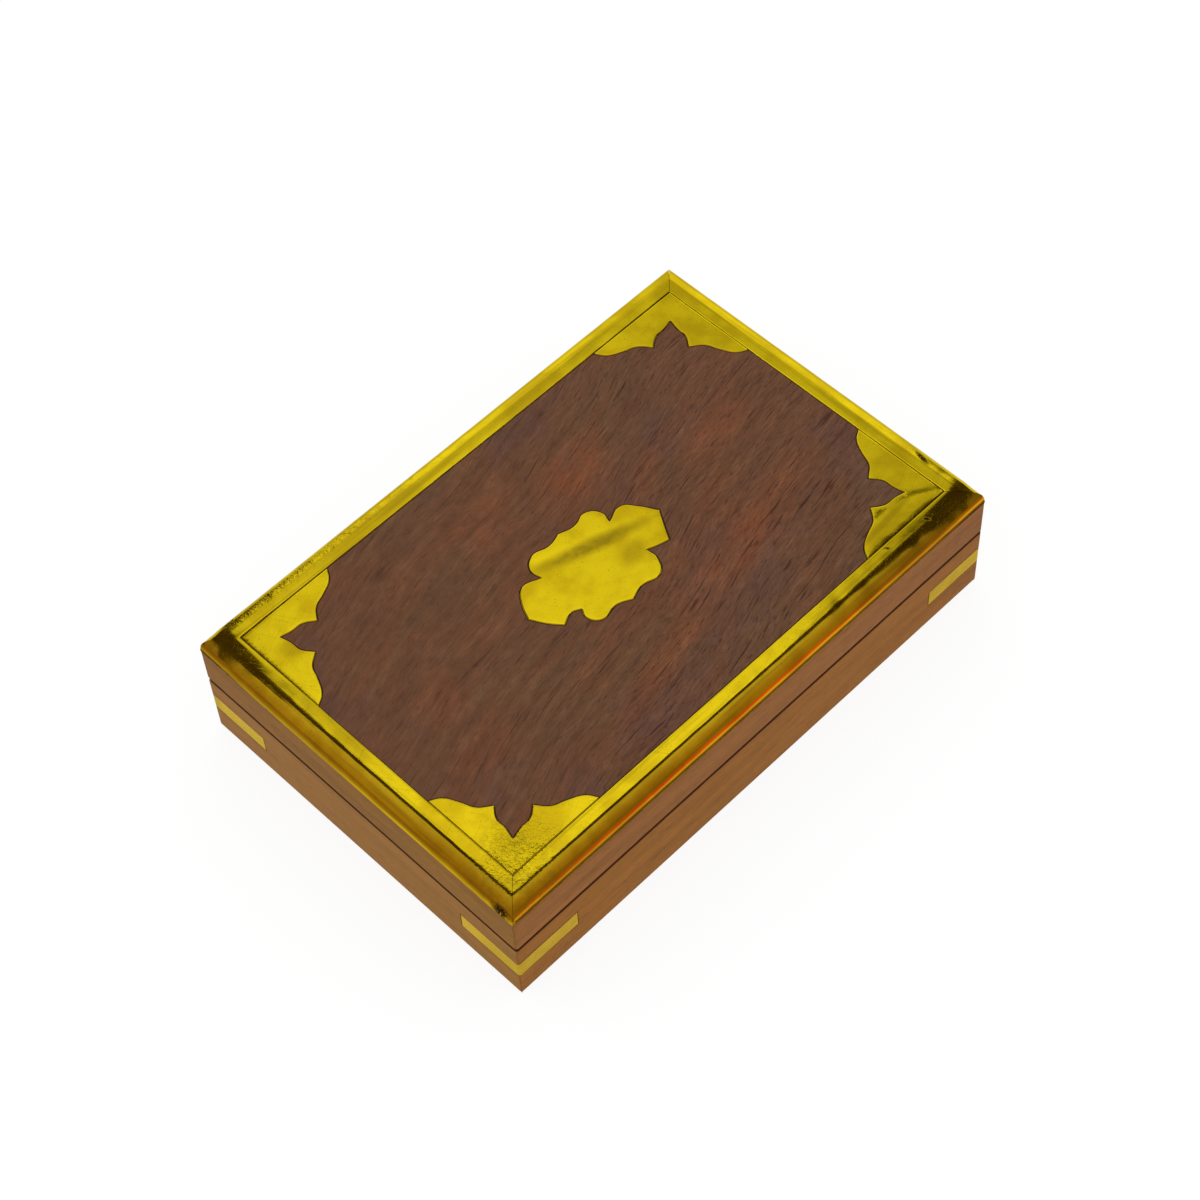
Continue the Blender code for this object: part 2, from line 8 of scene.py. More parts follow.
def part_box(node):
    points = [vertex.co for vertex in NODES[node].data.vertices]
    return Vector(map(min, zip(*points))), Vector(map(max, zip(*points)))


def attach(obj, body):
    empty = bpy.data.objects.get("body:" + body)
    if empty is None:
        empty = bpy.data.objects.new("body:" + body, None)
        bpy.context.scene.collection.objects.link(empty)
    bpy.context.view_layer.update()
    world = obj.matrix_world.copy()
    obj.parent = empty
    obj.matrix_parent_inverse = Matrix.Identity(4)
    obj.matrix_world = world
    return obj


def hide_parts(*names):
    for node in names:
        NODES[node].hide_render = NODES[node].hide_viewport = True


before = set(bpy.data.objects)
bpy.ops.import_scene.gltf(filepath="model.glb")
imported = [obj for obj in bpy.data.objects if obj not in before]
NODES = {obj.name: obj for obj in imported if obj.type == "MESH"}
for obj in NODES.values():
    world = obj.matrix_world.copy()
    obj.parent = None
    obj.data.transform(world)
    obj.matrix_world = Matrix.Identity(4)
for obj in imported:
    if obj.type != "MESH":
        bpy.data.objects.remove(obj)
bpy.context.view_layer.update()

# Camera of the photograph, in metres, solved from the straight edges of the box
CAMERA_PLACE = (-0.24702, -0.27342, 0.55858)
CAMERA_RIGHT = (0.70407306, -0.70917853, -0.03670063)
CAMERA_UP = (0.60027598, 0.56675016, 0.56432526)
CAMERA_BACK = (-0.37940727, -0.41935672, 0.82473636)
CAMERA_LENS = 84.80
SENSOR_WIDTH = 36.0

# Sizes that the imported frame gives
WOOD_HALF_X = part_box("base_front_wall")[1].x
WOOD_HALF_Y = -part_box("base_front_wall")[0].y
BOX_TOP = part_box("lid_panel")[1].z
EDGING_HALF_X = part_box("lid_front_edging")[1].x
EDGING_HALF_Y = -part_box("lid_front_edging")[0].y
EDGING_WIDTH = EDGING_HALF_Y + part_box("lid_front_edging")[1].y
EDGING_RADIUS = BOX_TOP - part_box("lid_front_edging")[0].z
INNER_LINE_X = EDGING_HALF_X - EDGING_WIDTH
INNER_LINE_Y = EDGING_HALF_Y - EDGING_WIDTH
PARTING_Z = (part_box("base_front_wall")[1].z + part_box("lid_front_rail")[0].z) / 2

# Sizes of the finish
MM = 0.001
WELD = 1e-6
CORNER_RADIUS = 0.75 * MM
CORNER_STEPS = 8
ENVELOPE_SLACK = 0.02 * MM
ENVELOPE_FOOT = -0.01
ENVELOPE_HEIGHT = 0.06
BEVEL_ANGLE = math.radians(35)
FLAT_ANGLE = math.radians(0.5)
WOOD_EDGE = 0.12 * MM
METAL_EDGE = 0.06 * MM
MITRE_GLUE_DEPTH = 3.0 * MM
MITRE_GLUE_WIDTH = 0.26 * MM
HINGE_RELIEF = 1.2 * MM
SHEET = 0.6 * MM
EDGING_STATION = 0.9 * MM
EDGING_ARC_START = 2
EDGING_ARC_STEPS = 16
EDGING_FLAT_STEPS = 8
EDGING_UNDERSIDE_STEPS = 5
EDGING_CORNER_STEPS = 5
EDGING_RIM_SHARE = 0.3
EDGING_LIP = 0.04 * MM
EDGING_MITRE_GAP = 0.10 * MM
EDGING_DENT = 0.045 * MM
DROOP_REACH = 38 * MM
DROOP_FULL = 6 * MM
FRONT_RIGHT_DROOP = 0.15 * MM
BACK_LEFT_DROOP = 0.13 * MM
DROOP_CREASE = 0.3
METAL_CREASE_ANGLE = math.radians(50)
BRASS_SPREAD = 0.06 * MM
OUTLINE_STEP = 0.4 * MM
OUTLINE_CORNER = math.radians(33)
INLAY_GRID = 0.8 * MM
INLAY_ROW_SPACING = 0.87
INLAY_GAP = 0.3 * MM
INLAY_RIM_DROP = 0.035 * MM
INLAY_RIM_WIDTH = 0.2 * MM
INLAY_RIM_EASE = 0.008 * MM
INLAY_GRID_MARGIN = 0.7 * MM
GLUE_SLACK = 0.02 * MM
GLUE_SINK = 0.07 * MM
GLUE_BED = 0.15 * MM
FELT_GRID = 1.6 * MM
FELT_ROUND = 0.4 * MM
FELT_NAP = 0.06 * MM
FELT_CREASE_ANGLE = math.radians(60)

# The floor's half size, and the level direction away from the camera
FLOOR_HALF = 6.0
AWAY = (0.67, 0.742, 0.0)

# Sides with their turns from the front, and corners
QUARTER_TURNS = {"front": 0, "right": 1, "back": 2, "left": 3}
CORNERS = ("front_left", "front_right", "back_left", "back_right")

# Colours, and the marks on the box with their places and sizes in millimetres
DARK_ROOM = (0.055, 0.036, 0.05)
BRASS_GLOSS = {"Specular Tint": (1.0, 0.90, 0.50)}
WOOD_GLOSS = {"Specular IOR Level": 0.2, "Specular Tint": (1.0, 0.42, 0.12)}
RED_PATCHES = (
    ((14, 22, 0), (13, 8, 1), 30, 0.95),
    ((46, 7, 0), (12, 6, 1), 5, 0.70),
    ((24, -21, 0), (34, 6, 1), 14, 0.85),
    ((-8, 27, 0), (14, 7, 1), 35, 0.55),
    ((-50, -1, 0), (8, 6, 1), 40, 0.50),
    ((-12, -31, 0), (20, 4, 1), 12, 0.55),
)
GOLD = ((0.86, 0.640, 0.009), (0.68, 0.475, 0.007))
STRAP_TONES = ((0.78, 0.605, 0.130), (0.64, 0.480, 0.100))
AGED_TONES = ((0.60, 0.42, 0.06), (0.42, 0.27, 0.03))
# Heights in millimetres where the painted shade along the edging's lower edge begins and where it is full
LOWER_SHADE_TOP = 32.42
LOWER_SHADE_FULL = 32.16
FRONT_LEFT_DENTS = ((-66, -41, 0), (16, 10, 1), 25)
BACK_DENTS = ((-30, 48.2, 0), (44, 2.6, 1), 0)
LONG_EDGING_MARKS = {
    "along": (0.03, 0.75, 0.75),
    # Olive tarnish mixed with painted dark reflection along the back edging's flat
    "stains_and_reflections": (((-20, 46, 0), (60, 1.4, 1), 0, 0.35), ((30, 46, 0), (26, 2.2, 1), 0, 0.3)),
    "hammered": (FRONT_LEFT_DENTS, BACK_DENTS),
    # Painted shade along the lower edge of the front edging
    "lower_shade": (0, -2),
    "scars": (
        ((60.5, -46.0, 0), (0.5, 1.2, 1), 30),
        ((48, -44.8, 0), (0.4, 0.8, 1), 50),
        ((-68, 49, 0), (3, 0.6, 1), 8),
    ),
}
SHORT_EDGING_MARKS = {
    "along": (0.75, 0.03, 0.75),
    # Olive tarnish mixed with painted dark reflection on the left edging
    "stains_and_reflections": (((-70.5, 14, 0), (1.5, 22, 1), 0, 0.45),),
    "hammered": (FRONT_LEFT_DENTS,),
    # Painted shade along the lower edge, towards the back ends of the side edgings
    "lower_shade": (28, 42),
    "scars": (((73.0, -33.6, 0), (0.7, 2.4, 1), -12), ((-75.8, -46.8, 0), (0.7, 2.6, 1), 0)),
}
PLATE_MARKS = {
    # Olive tarnish mixed with painted dark reflection on the front right and back left plates
    "stains_and_reflections": (((54, -39.5, 0), (11, 1.0, 1), 5, 0.5), ((-62, 33, 0), (4, 3, 1), 0, 0.4)),
    "hammered": (FRONT_LEFT_DENTS,),
}
ESCUTCHEON_MARKS = {
    # Painted dark reflection along the escutcheon's fold, mixed with olive tarnish
    "stains_and_reflections": (((3, 4.4, 0), (15, 2.2, 1), -17, 0.85), ((8, -4, 0), (5, 2.5, 1), 20, 0.45)),
}


# Camera, floor and light

def make_camera():
    data = bpy.data.cameras.new("camera")
    data.lens = CAMERA_LENS
    data.sensor_width = SENSOR_WIDTH
    data.clip_start = 0.01
    camera = bpy.data.objects.new("camera", data)
    bpy.context.scene.collection.objects.link(camera)
    turn = Matrix((CAMERA_RIGHT, CAMERA_UP, CAMERA_BACK)).transposed().to_4x4()
    camera.matrix_world = Matrix.Translation(CAMERA_PLACE) @ turn
    bpy.context.scene.camera = camera


class Graph:
    """A shader tree that is built by calls, each of which returns the new node's output."""

    def __init__(self, tree):
        self.tree = tree

    def feed(self, socket, value):
        if isinstance(value, bpy.types.NodeSocket):
            self.tree.links.new(value, socket)
        elif socket.type == "RGBA":
            socket.default_value = (*value, 1.0)
        else:
            socket.default_value = value

    def node(self, kind, inputs, out=0, **settings):
        node = self.tree.nodes.new("ShaderNode" + kind)
        for key, value in settings.items():
            setattr(node, key, value)
        for key, value in inputs.items():
            self.feed(node.inputs[key], value)
        return node.outputs[out] if node.outputs else None

    def math(self, operation, *values, clamp=False):
        return self.node("Math", dict(enumerate(values)), operation=operation, use_clamp=clamp)

    def smooth(self, value, low, high, start=0.0, end=1.0):
        """A number that goes from start to end, eased, while the value goes from low to high."""
        inputs = {"Value": value, "From Min": low, "From Max": high, "To Min": start, "To Max": end}
        return self.node("MapRange", inputs, interpolation_type="SMOOTHSTEP")

    def mix(self, amount, first, second, blend="MIX"):
        inputs = {0: amount, 6: first, 7: second}
        return self.node("Mix", inputs, out=2, data_type="RGBA", blend_type=blend)

    def ramp(self, value, stops):
        node = self.tree.nodes.new("ShaderNodeValToRGB")
        self.feed(node.inputs[0], value)
        elements = node.color_ramp.elements
        while len(elements) < len(stops):
            elements.new(0.5)
        for element, (position, color) in zip(elements, stops):
            element.position = position
            element.color = (*color, 1.0)
        return node.outputs[0]

    def mapped(self, coords, scale=(1, 1, 1), place=(0, 0, 0), turn=0.0):
        """Coordinates about a place, turned about Z and scaled."""
        shift = self.node("VectorMath", {0: coords, 1: place}, operation="SUBTRACT")
        turned = self.node("VectorRotate", {"Vector": shift, "Angle": -math.radians(turn)})
        return self.node("VectorMath", {0: turned, 1: scale}, operation="MULTIPLY")

    def noise(self, coords, scale=1.0, detail=2.0, rough=0.5, distortion=0.0):
        inputs = {
            "Vector": coords,
            "Scale": scale,
            "Detail": detail,
            "Roughness": rough,
            "Distortion": distortion,
        }
        return self.node("TexNoise", inputs)

    def split(self, vector):
        node = self.tree.nodes.new("ShaderNodeSeparateXYZ")
        self.feed(node.inputs[0], vector)
        return node.outputs

    def patch(self, coords, place, size, turn=0.0, soft=0.6):
        """A soft oval spot on the XY plane: 1 at its middle and 0 outside."""
        scale = (1 / size[0], 1 / size[1], 0)
        length = self.node(
            "VectorMath", {0: self.mapped(coords, scale, place, turn)}, out=1, operation="LENGTH"
        )
        return self.smooth(length, 1 - soft, 1 + soft / 2, 1.0, 0.0)


def make_floor():
    mesh = bpy.data.meshes.new("floor")
    corners = [(x * FLOOR_HALF, y * FLOOR_HALF, 0) for x, y in ((-1, -1), (1, -1), (1, 1), (-1, 1))]
    mesh.from_pydata(corners, [], [(0, 1, 2, 3)])
    floor = bpy.data.objects.new("floor", mesh)
    bpy.context.scene.collection.objects.link(floor)
    floor.visible_glossy = False
    material = bpy.data.materials.new("floor")
    material.use_nodes = True
    shader = material.node_tree.nodes["Principled BSDF"]
    shader.inputs["Base Color"].default_value = (0.16, 0.16, 0.16, 1)
    shader.inputs["Roughness"].default_value = 1.0
    shader.inputs["Specular IOR Level"].default_value = 0.0
    shader.inputs["Emission Color"].default_value = (1, 1, 1, 1)
    shader.inputs["Emission Strength"].default_value = 0.86
    mesh.materials.append(material)


def far_room(g, x, y, away):
    """The upper half of what the brass mirrors: a warm room on the near side, a dark ceiling, and beyond
    it a large soft light. The ceiling reaches lower to the right and to the back."""
    level = g.math("MULTIPLY_ADD", away, 0.5, 0.5)
    room = g.ramp(
        level,
        (
            (0.16, (0.80, 0.80, 0.80)),
            (0.23, (0.30, 0.17, 0.20)),
            (0.35, (0.36, 0.23, 0.34)),
            (0.45, (0.45, 0.33, 0.60)),
            (0.55, (0.53, 0.44, 0.85)),
            (0.65, (0.56, 0.50, 1.0)),
        ),
    )
    light = g.ramp(
        level,
        (
            (0.72, (1.0, 1.0, 1.0)),
            (0.765, (0.95, 0.95, 0.95)),
            (0.784, (0.79, 0.79, 0.79)),
            (0.81, (0.76, 0.76, 0.76)),
            (1.0, (0.80, 0.80, 0.80)),
        ),
    )
    right = g.node("Clamp", {"Value": g.math("SUBTRACT", x, 0.41), "Min": 0.0, "Max": 0.09})
    back = g.node("Clamp", {"Value": g.math("SUBTRACT", y, 0.485), "Min": 0.0, "Max": 0.03})
    low = g.math("MULTIPLY_ADD", g.math("MULTIPLY", right, right), -71.0, 0.26)
    low = g.math("MULTIPLY_ADD", g.math("MULTIPLY", back, back), -600.0, low)
    high = g.math("MAXIMUM", g.smooth(x, 0.40, 0.455, 0.43, 0.556), g.smooth(y, 0.44, 0.475, 0.43, 0.53))
    high = g.math("MULTIPLY_ADD", right, 0.12, high)
    high = g.math("MULTIPLY_ADD", back, 0.7, high)
    dark = g.smooth(away, g.math("SUBTRACT", low, 0.02), g.math("ADD", low, 0.01))
    sky = g.mix(dark, room, DARK_ROOM)
    sky = g.mix(g.smooth(away, high, g.math("ADD", high, 0.012)), sky, light)
    glow = g.math("MAXIMUM", g.smooth(y, 0.52, 0.62), g.smooth(x, 0.54, 0.64))
    return g.mix(g.math("MULTIPLY", glow, g.smooth(away, 0.55, 0.62)), sky, (1.0, 1.0, 1.0))


def dark_beyond_corners(g, x, y, away):
    """The dark stretches of the room that the brass mirrors beside the lid's front right and back left
    corners, as a mask. Each has a straight border, and a slanted one close to the corner itself."""
    right_stretch = g.math("MULTIPLY", g.smooth(x, 0.46, 0.47), g.smooth(y, 0.315, 0.300))
    back_stretch = g.math("MULTIPLY", g.smooth(y, 0.47, 0.48), g.smooth(x, 0.258, 0.243))
    past_slant = g.math("SUBTRACT", y, g.math("MULTIPLY_ADD", x, 0.03, 0.3315))
    right_corner = g.math("MULTIPLY", g.smooth(x, 0.487, 0.491), g.smooth(past_slant, 0.003, -0.003))
    past_slant = g.math("SUBTRACT", x, g.math("MULTIPLY_ADD", y, 0.06, 0.2476))
    back_corner = g.math("MULTIPLY", g.smooth(y, 0.502, 0.508), g.smooth(past_slant, 0.005, -0.005))
    stretches = g.math("MAXIMUM", right_stretch, back_stretch)
    corners = g.math("MAXIMUM", right_corner, back_corner)
    return g.math("MULTIPLY", g.math("MAXIMUM", stretches, corners), g.smooth(away, 0.10, 0.14))


def near_floor(g, x, y, z, away):
    """The lower half of what the brass mirrors: a warm floor with a red glow in front of the box, and a
    light one beyond it."""
    front = g.ramp(
        g.math("MULTIPLY", z, -1.0),
        (
            (0.0, (0.30, 0.165, 0.20)),
            (0.04, (0.42, 0.12, 0.15)),
            (0.07, (0.86, 0.070, 0.20)),
            (0.20, (0.86, 0.080, 0.20)),
            (0.26, (0.45, 0.22, 0.5)),
            (0.33, (0.80, 0.52, 1.0)),
            (0.50, (0.70, 0.44, 1.0)),
            (0.58, (0.26, 0.14, 0.3)),
            (0.66, (0.15, 0.075, 0.15)),
            (1.0, (0.15, 0.075, 0.15)),
        ),
    )
    plain = g.ramp(
        g.math("MULTIPLY", z, -1.0),
        (
            (0.0, (0.29, 0.16, 0.20)),
            (0.22, (0.29, 0.165, 0.25)),
            (0.42, (0.36, 0.25, 0.5)),
            (0.60, (0.55, 0.42, 0.8)),
            (0.78, (0.68, 0.60, 0.35)),
            (1.0, (0.70, 0.62, 0.30)),
        ),
    )
    reddened = g.math("MULTIPLY", g.smooth(x, 0.445, 0.425), g.smooth(x, 0.30, 0.33))
    unreddened = g.mix(g.smooth(z, -0.22, -0.16), front, (0.30, 0.18, 0.25))
    front = g.mix(reddened, unreddened, front)
    front_share = g.math("MULTIPLY", g.smooth(y, -0.43, -0.53), g.smooth(x, 0.18, 0.26))
    ground = g.mix(front_share, plain, front)
    return g.mix(g.smooth(away, 0.20, 0.35), ground, (0.72, 0.72, 0.72))


def make_world():
    """A white studio. The wood gets even light from all round, and the brass mirrors the room."""
    world = bpy.data.worlds.new("studio")
    world.use_nodes = True
    world.cycles.sampling_method = "NONE"
    bpy.context.scene.world = world
    tree = world.node_tree
    tree.nodes.clear()
    g = Graph(tree)
    direction = g.node("TexCoord", {}, out="Generated")
    x, y, z = g.split(direction)
    away = g.node("VectorMath", {0: direction, 1: AWAY}, out=1, operation="DOT_PRODUCT")
    sky = g.mix(dark_beyond_corners(g, x, y, away), far_room(g, x, y, away), DARK_ROOM)
    shade = g.math("MULTIPLY", g.smooth(x, 0.40, 0.465), g.smooth(x, 0.50, 0.56, 1.0, 0.0))
    sky = g.mix(g.math("MULTIPLY", shade, 0.26), sky, (0.0, 0.0, 0.0))
    right_side = g.math("MULTIPLY", g.smooth(x, 0.55, 0.65), g.smooth(y, 0.08, -0.05))
    left_side = g.math("MULTIPLY", g.smooth(y, 0.56, 0.66), g.smooth(x, 0.03, -0.10))
    sky = g.mix(g.math("MAXIMUM", right_side, left_side), sky, (0.85, 0.85, 0.85))
    sky = g.mix(g.smooth(z, 0.012, -0.012), sky, near_floor(g, x, y, z, away))
    rays = tree.nodes.new("ShaderNodeLightPath")
    color = g.mix(rays.outputs["Is Glossy Ray"], (1.0, 1.0, 1.0), sky)
    g.node("OutputWorld", {"Surface": g.node("Background", {"Color": color, "Strength": 1.0})})


# Materials

def new_material(name):
    material = bpy.data.materials.new(name)
    material.use_nodes = True
    tree = material.node_tree
    tree.nodes.clear()
    g = Graph(tree)
    millimetres = g.mapped(g.node("TexCoord", {}, out="Object"), (1000, 1000, 1000))
    return material, g, millimetres


def finish_material(g, color, roughness, height, relief, metallic=0.0, **settings):
    """Principled surface; relief is the depth in metres that a height of 1 stands for."""
    bump = g.node("Bump", {"Height": height, "Distance": relief, "Strength": 1.0})
    inputs = {"Base Color": color, "Roughness": roughness, "Normal": bump, "Metallic": metallic}
    inputs.update(settings)
    g.node("OutputMaterial", {"Surface": g.node("BsdfPrincipled", inputs)})


def along_grain(g, coords, turn, seed, upright):
    """Coordinates whose X runs along the grain. Upright pieces turn their grain in the wall's own plane."""
    place = (seed * 37.0, seed * 23.0, seed * 11.0)
    return g.mapped(coords, (1, 1, 1.6 if upright else 1), place, turn)


def pores(g, grain, scale, low, high):
    """Short dark vessels along the grain."""
    cells = g.node("VectorMath", {0: grain, 1: scale}, operation="MULTIPLY")
    return g.smooth(g.noise(cells, 1.0, 1.5, 0.55), low, high)


def streaks(g, grain, scale, detail=4.0, rough=0.6):
    cells = g.node("VectorMath", {0: grain, 1: scale}, operation="MULTIPLY")
    return g.noise(cells, 1.0, detail, rough)


def lid_clouds(g, coords, grain):
    """The lid's broad colours: red, olive and purple clouds, and the red patches of the photograph."""
    color = (0.128, 0.057, 0.031)
    olive = g.smooth(streaks(g, grain, (0.022, 0.05, 0.05), 3.0, 0.55), 0.46, 0.60)
    color = g.mix(g.math("MULTIPLY", olive, 0.42), color, (0.112, 0.066, 0.034))
    purple = g.smooth(g.noise(g.mapped(coords, (1, 1, 1), (60, 20, 0)), 0.040, 3.0, 0.55), 0.50, 0.64)
    color = g.mix(g.math("MULTIPLY", purple, 0.45), color, (0.096, 0.052, 0.044))
    rosy = g.mapped(grain, (1, 1, 1), (0, 90, 0))
    warm = g.smooth(streaks(g, rosy, (0.030, 0.11, 0.11), 5.0, 0.62), 0.50, 0.66)
    color = g.mix(g.math("MULTIPLY", warm, 0.38), color, (0.180, 0.062, 0.028))
    ragged = streaks(g, grain, (0.10, 0.25, 0.25), 4.0, 0.65)
    wobble = g.math("MULTIPLY_ADD", ragged, 3.2, -0.85)
    for place, size, turn, strength in RED_PATCHES:
        spot = g.math("MULTIPLY", g.patch(coords, place, size, turn, 0.85), wobble, clamp=True)
        color = g.mix(g.math("MULTIPLY", spot, strength), color, (0.190, 0.063, 0.028))
    return color


def lid_rosewood():
    """Figured rosewood of the lid: soft clouds under long fine streaks that run at a slant."""
    material, g, coords = new_material("lid_rosewood_grain")
    swirl = g.node("TexNoise", {"Vector": coords, "Scale": 0.018, "Detail": 1.5}, out="Color")
    centred = g.node("VectorMath", {0: swirl, 1: (0.5, 0.5, 0.5)}, operation="SUBTRACT")
    bend = g.node("VectorMath", {0: centred, 1: (6.0, 12.0, 0.0)}, operation="MULTIPLY")
    warped = g.node("VectorMath", {0: coords, 1: bend}, operation="ADD")
    grain = g.mapped(warped, (1, 1, 1), (0, 0, 0), 13.0)
    x, y, _ = g.split(coords)
    slant = g.math("MULTIPLY_ADD", y, -0.9, x)
    figured = g.smooth(slant, -45.0, 30.0, 0.5, 1.0)

    mottle = g.noise(grain, 0.30, 4.0, 0.6)
    ribbons = streaks(g, grain, (0.060, 0.42, 0.42), 4.0, 0.6)
    fine = streaks(g, grain, (0.30, 1.7, 1.7), 4.0, 0.68)
    fibre = streaks(g, grain, (0.8, 5.5, 5.5), 2.0, 0.6)
    threads = g.mix(figured, mottle, fine)
    tone = g.math("ADD", g.math("MULTIPLY", ribbons, 0.45), g.math("MULTIPLY", threads, 0.55))
    shade = g.ramp(
        tone,
        (
            (0.34, (0.40, 0.38, 0.40)),
            (0.44, (0.60, 0.59, 0.60)),
            (0.52, (0.70, 0.70, 0.69)),
            (0.66, (0.96, 0.98, 0.96)),
        ),
    )
    color = g.mix(1.0, lid_clouds(g, coords, grain), shade, "MULTIPLY")
    color = g.mix(1.0, color, (1.55, 1.55, 1.55), "MULTIPLY")
    color = g.mix(g.math("MULTIPLY", g.smooth(fibre, 0.30, 0.70), 0.25), color, (0.078, 0.033, 0.020))

    vessels = pores(g, grain, (0.42, 3.4, 3.4), 0.62, 0.70)
    cracks = pores(g, g.mapped(grain, (1, 1, 1), (31, 17, 5)), (0.085, 1.9, 1.9), 0.655, 0.70)
    gleams = pores(g, g.mapped(grain, (1, 1, 1), (12, 44, 9)), (0.16, 2.2, 2.2), 0.60, 0.72)
    lines = (
        (gleams, 0.18, (0.250, 0.120, 0.062)),
        (vessels, 0.55, (0.030, 0.013, 0.010)),
        (cracks, 0.70, (0.032, 0.011, 0.008)),
    )
    for mask, strength, tint in lines:
        share = g.math("MULTIPLY", mask, g.math("MULTIPLY", figured, strength))
        color = g.mix(share, color, tint)
    roughness = g.math("MULTIPLY_ADD", fine, 0.16, 0.40)
    sunk = g.math("MULTIPLY", g.math("MAXIMUM", vessels, cracks), 0.65)
    height = g.math("SUBTRACT", g.math("MULTIPLY", fibre, 0.35), sunk)
    finish_material(g, color, roughness, height, 0.00005, **WOOD_GLOSS)
    return material


def joint_shade(g, coords):
    """Painted shade along the outer edges of the joint between lid and base, where the gap's shadow falls,
    as a mask.
    """
    x, y, z = g.split(coords)
    off_joint = g.math("ABSOLUTE", g.math("SUBTRACT", z, PARTING_Z / MM))
    beyond_x = g.math("SUBTRACT", g.math("ABSOLUTE", x), WOOD_HALF_X / MM)
    beyond_y = g.math("SUBTRACT", g.math("ABSOLUTE", y), WOOD_HALF_Y / MM)
    near_face = g.smooth(g.math("MAXIMUM", beyond_x, beyond_y), -1.2, -0.5)
    uneven = g.math("MULTIPLY_ADD", g.noise(coords, 0.5, 2.0, 0.5), 0.25, 0.36)
    return g.math("MULTIPLY", g.smooth(off_joint, uneven, g.math("ADD", uneven, 0.25), 1.0, 0.0), near_face)


def side_rosewood(name, turn, seed, tint):
    """Straight-grained rosewood of the walls and rails, lighter than the lid, partly as painted light: the
    sides are lit more than the top.
    """
    material, g, coords = new_material(name)
    grain = along_grain(g, coords, turn, seed, True)
    broad = streaks(g, grain, (0.020, 0.16, 0.16), 4.0, 0.6)
    fine = streaks(g, grain, (0.07, 1.3, 1.3), 4.0, 0.65)
    fibre = streaks(g, grain, (0.35, 6.5, 6.5), 2.0, 0.6)
    tone = g.math("ADD", g.math("MULTIPLY", broad, 0.5), g.math("MULTIPLY", fine, 0.5))
    shades = ((0.34, 0.72), (0.46, 0.94), (0.54, 1.06), (0.66, 1.24))
    color = g.ramp(tone, [(place, tuple(channel * shade for channel in tint)) for place, shade in shades])
    vessels = pores(g, grain, (0.26, 3.4, 3.4), 0.60, 0.68)
    color = g.mix(g.math("MULTIPLY", g.smooth(fibre, 0.35, 0.70), 0.18), color, (0.13, 0.050, 0.018))
    color = g.mix(g.math("MULTIPLY", vessels, 0.55), color, (0.085, 0.030, 0.012))
    # Painted shade: the wood darkened along the joint between lid and base
    color = g.mix(g.math("MULTIPLY", joint_shade(g, coords), 0.9), color, (0.030, 0.007, 0.005))
    roughness = g.math("MULTIPLY_ADD", fine, 0.15, 0.45)
    height = g.math("SUBTRACT", g.math("MULTIPLY", fibre, 0.4), g.math("MULTIPLY", vessels, 0.6))
    finish_material(g, color, roughness, height, 0.00004, **WOOD_GLOSS)
    return material


def scratches(g, coords, turn, density):
    """Fine straight scratches in one direction, as a mask."""
    lines = g.mapped(coords, (0.10, 5.0, 5.0), (0, 0, 0), turn)
    return g.smooth(g.noise(lines, 1.0, 1.0, 0.4), 1 - density, 1.06 - density)


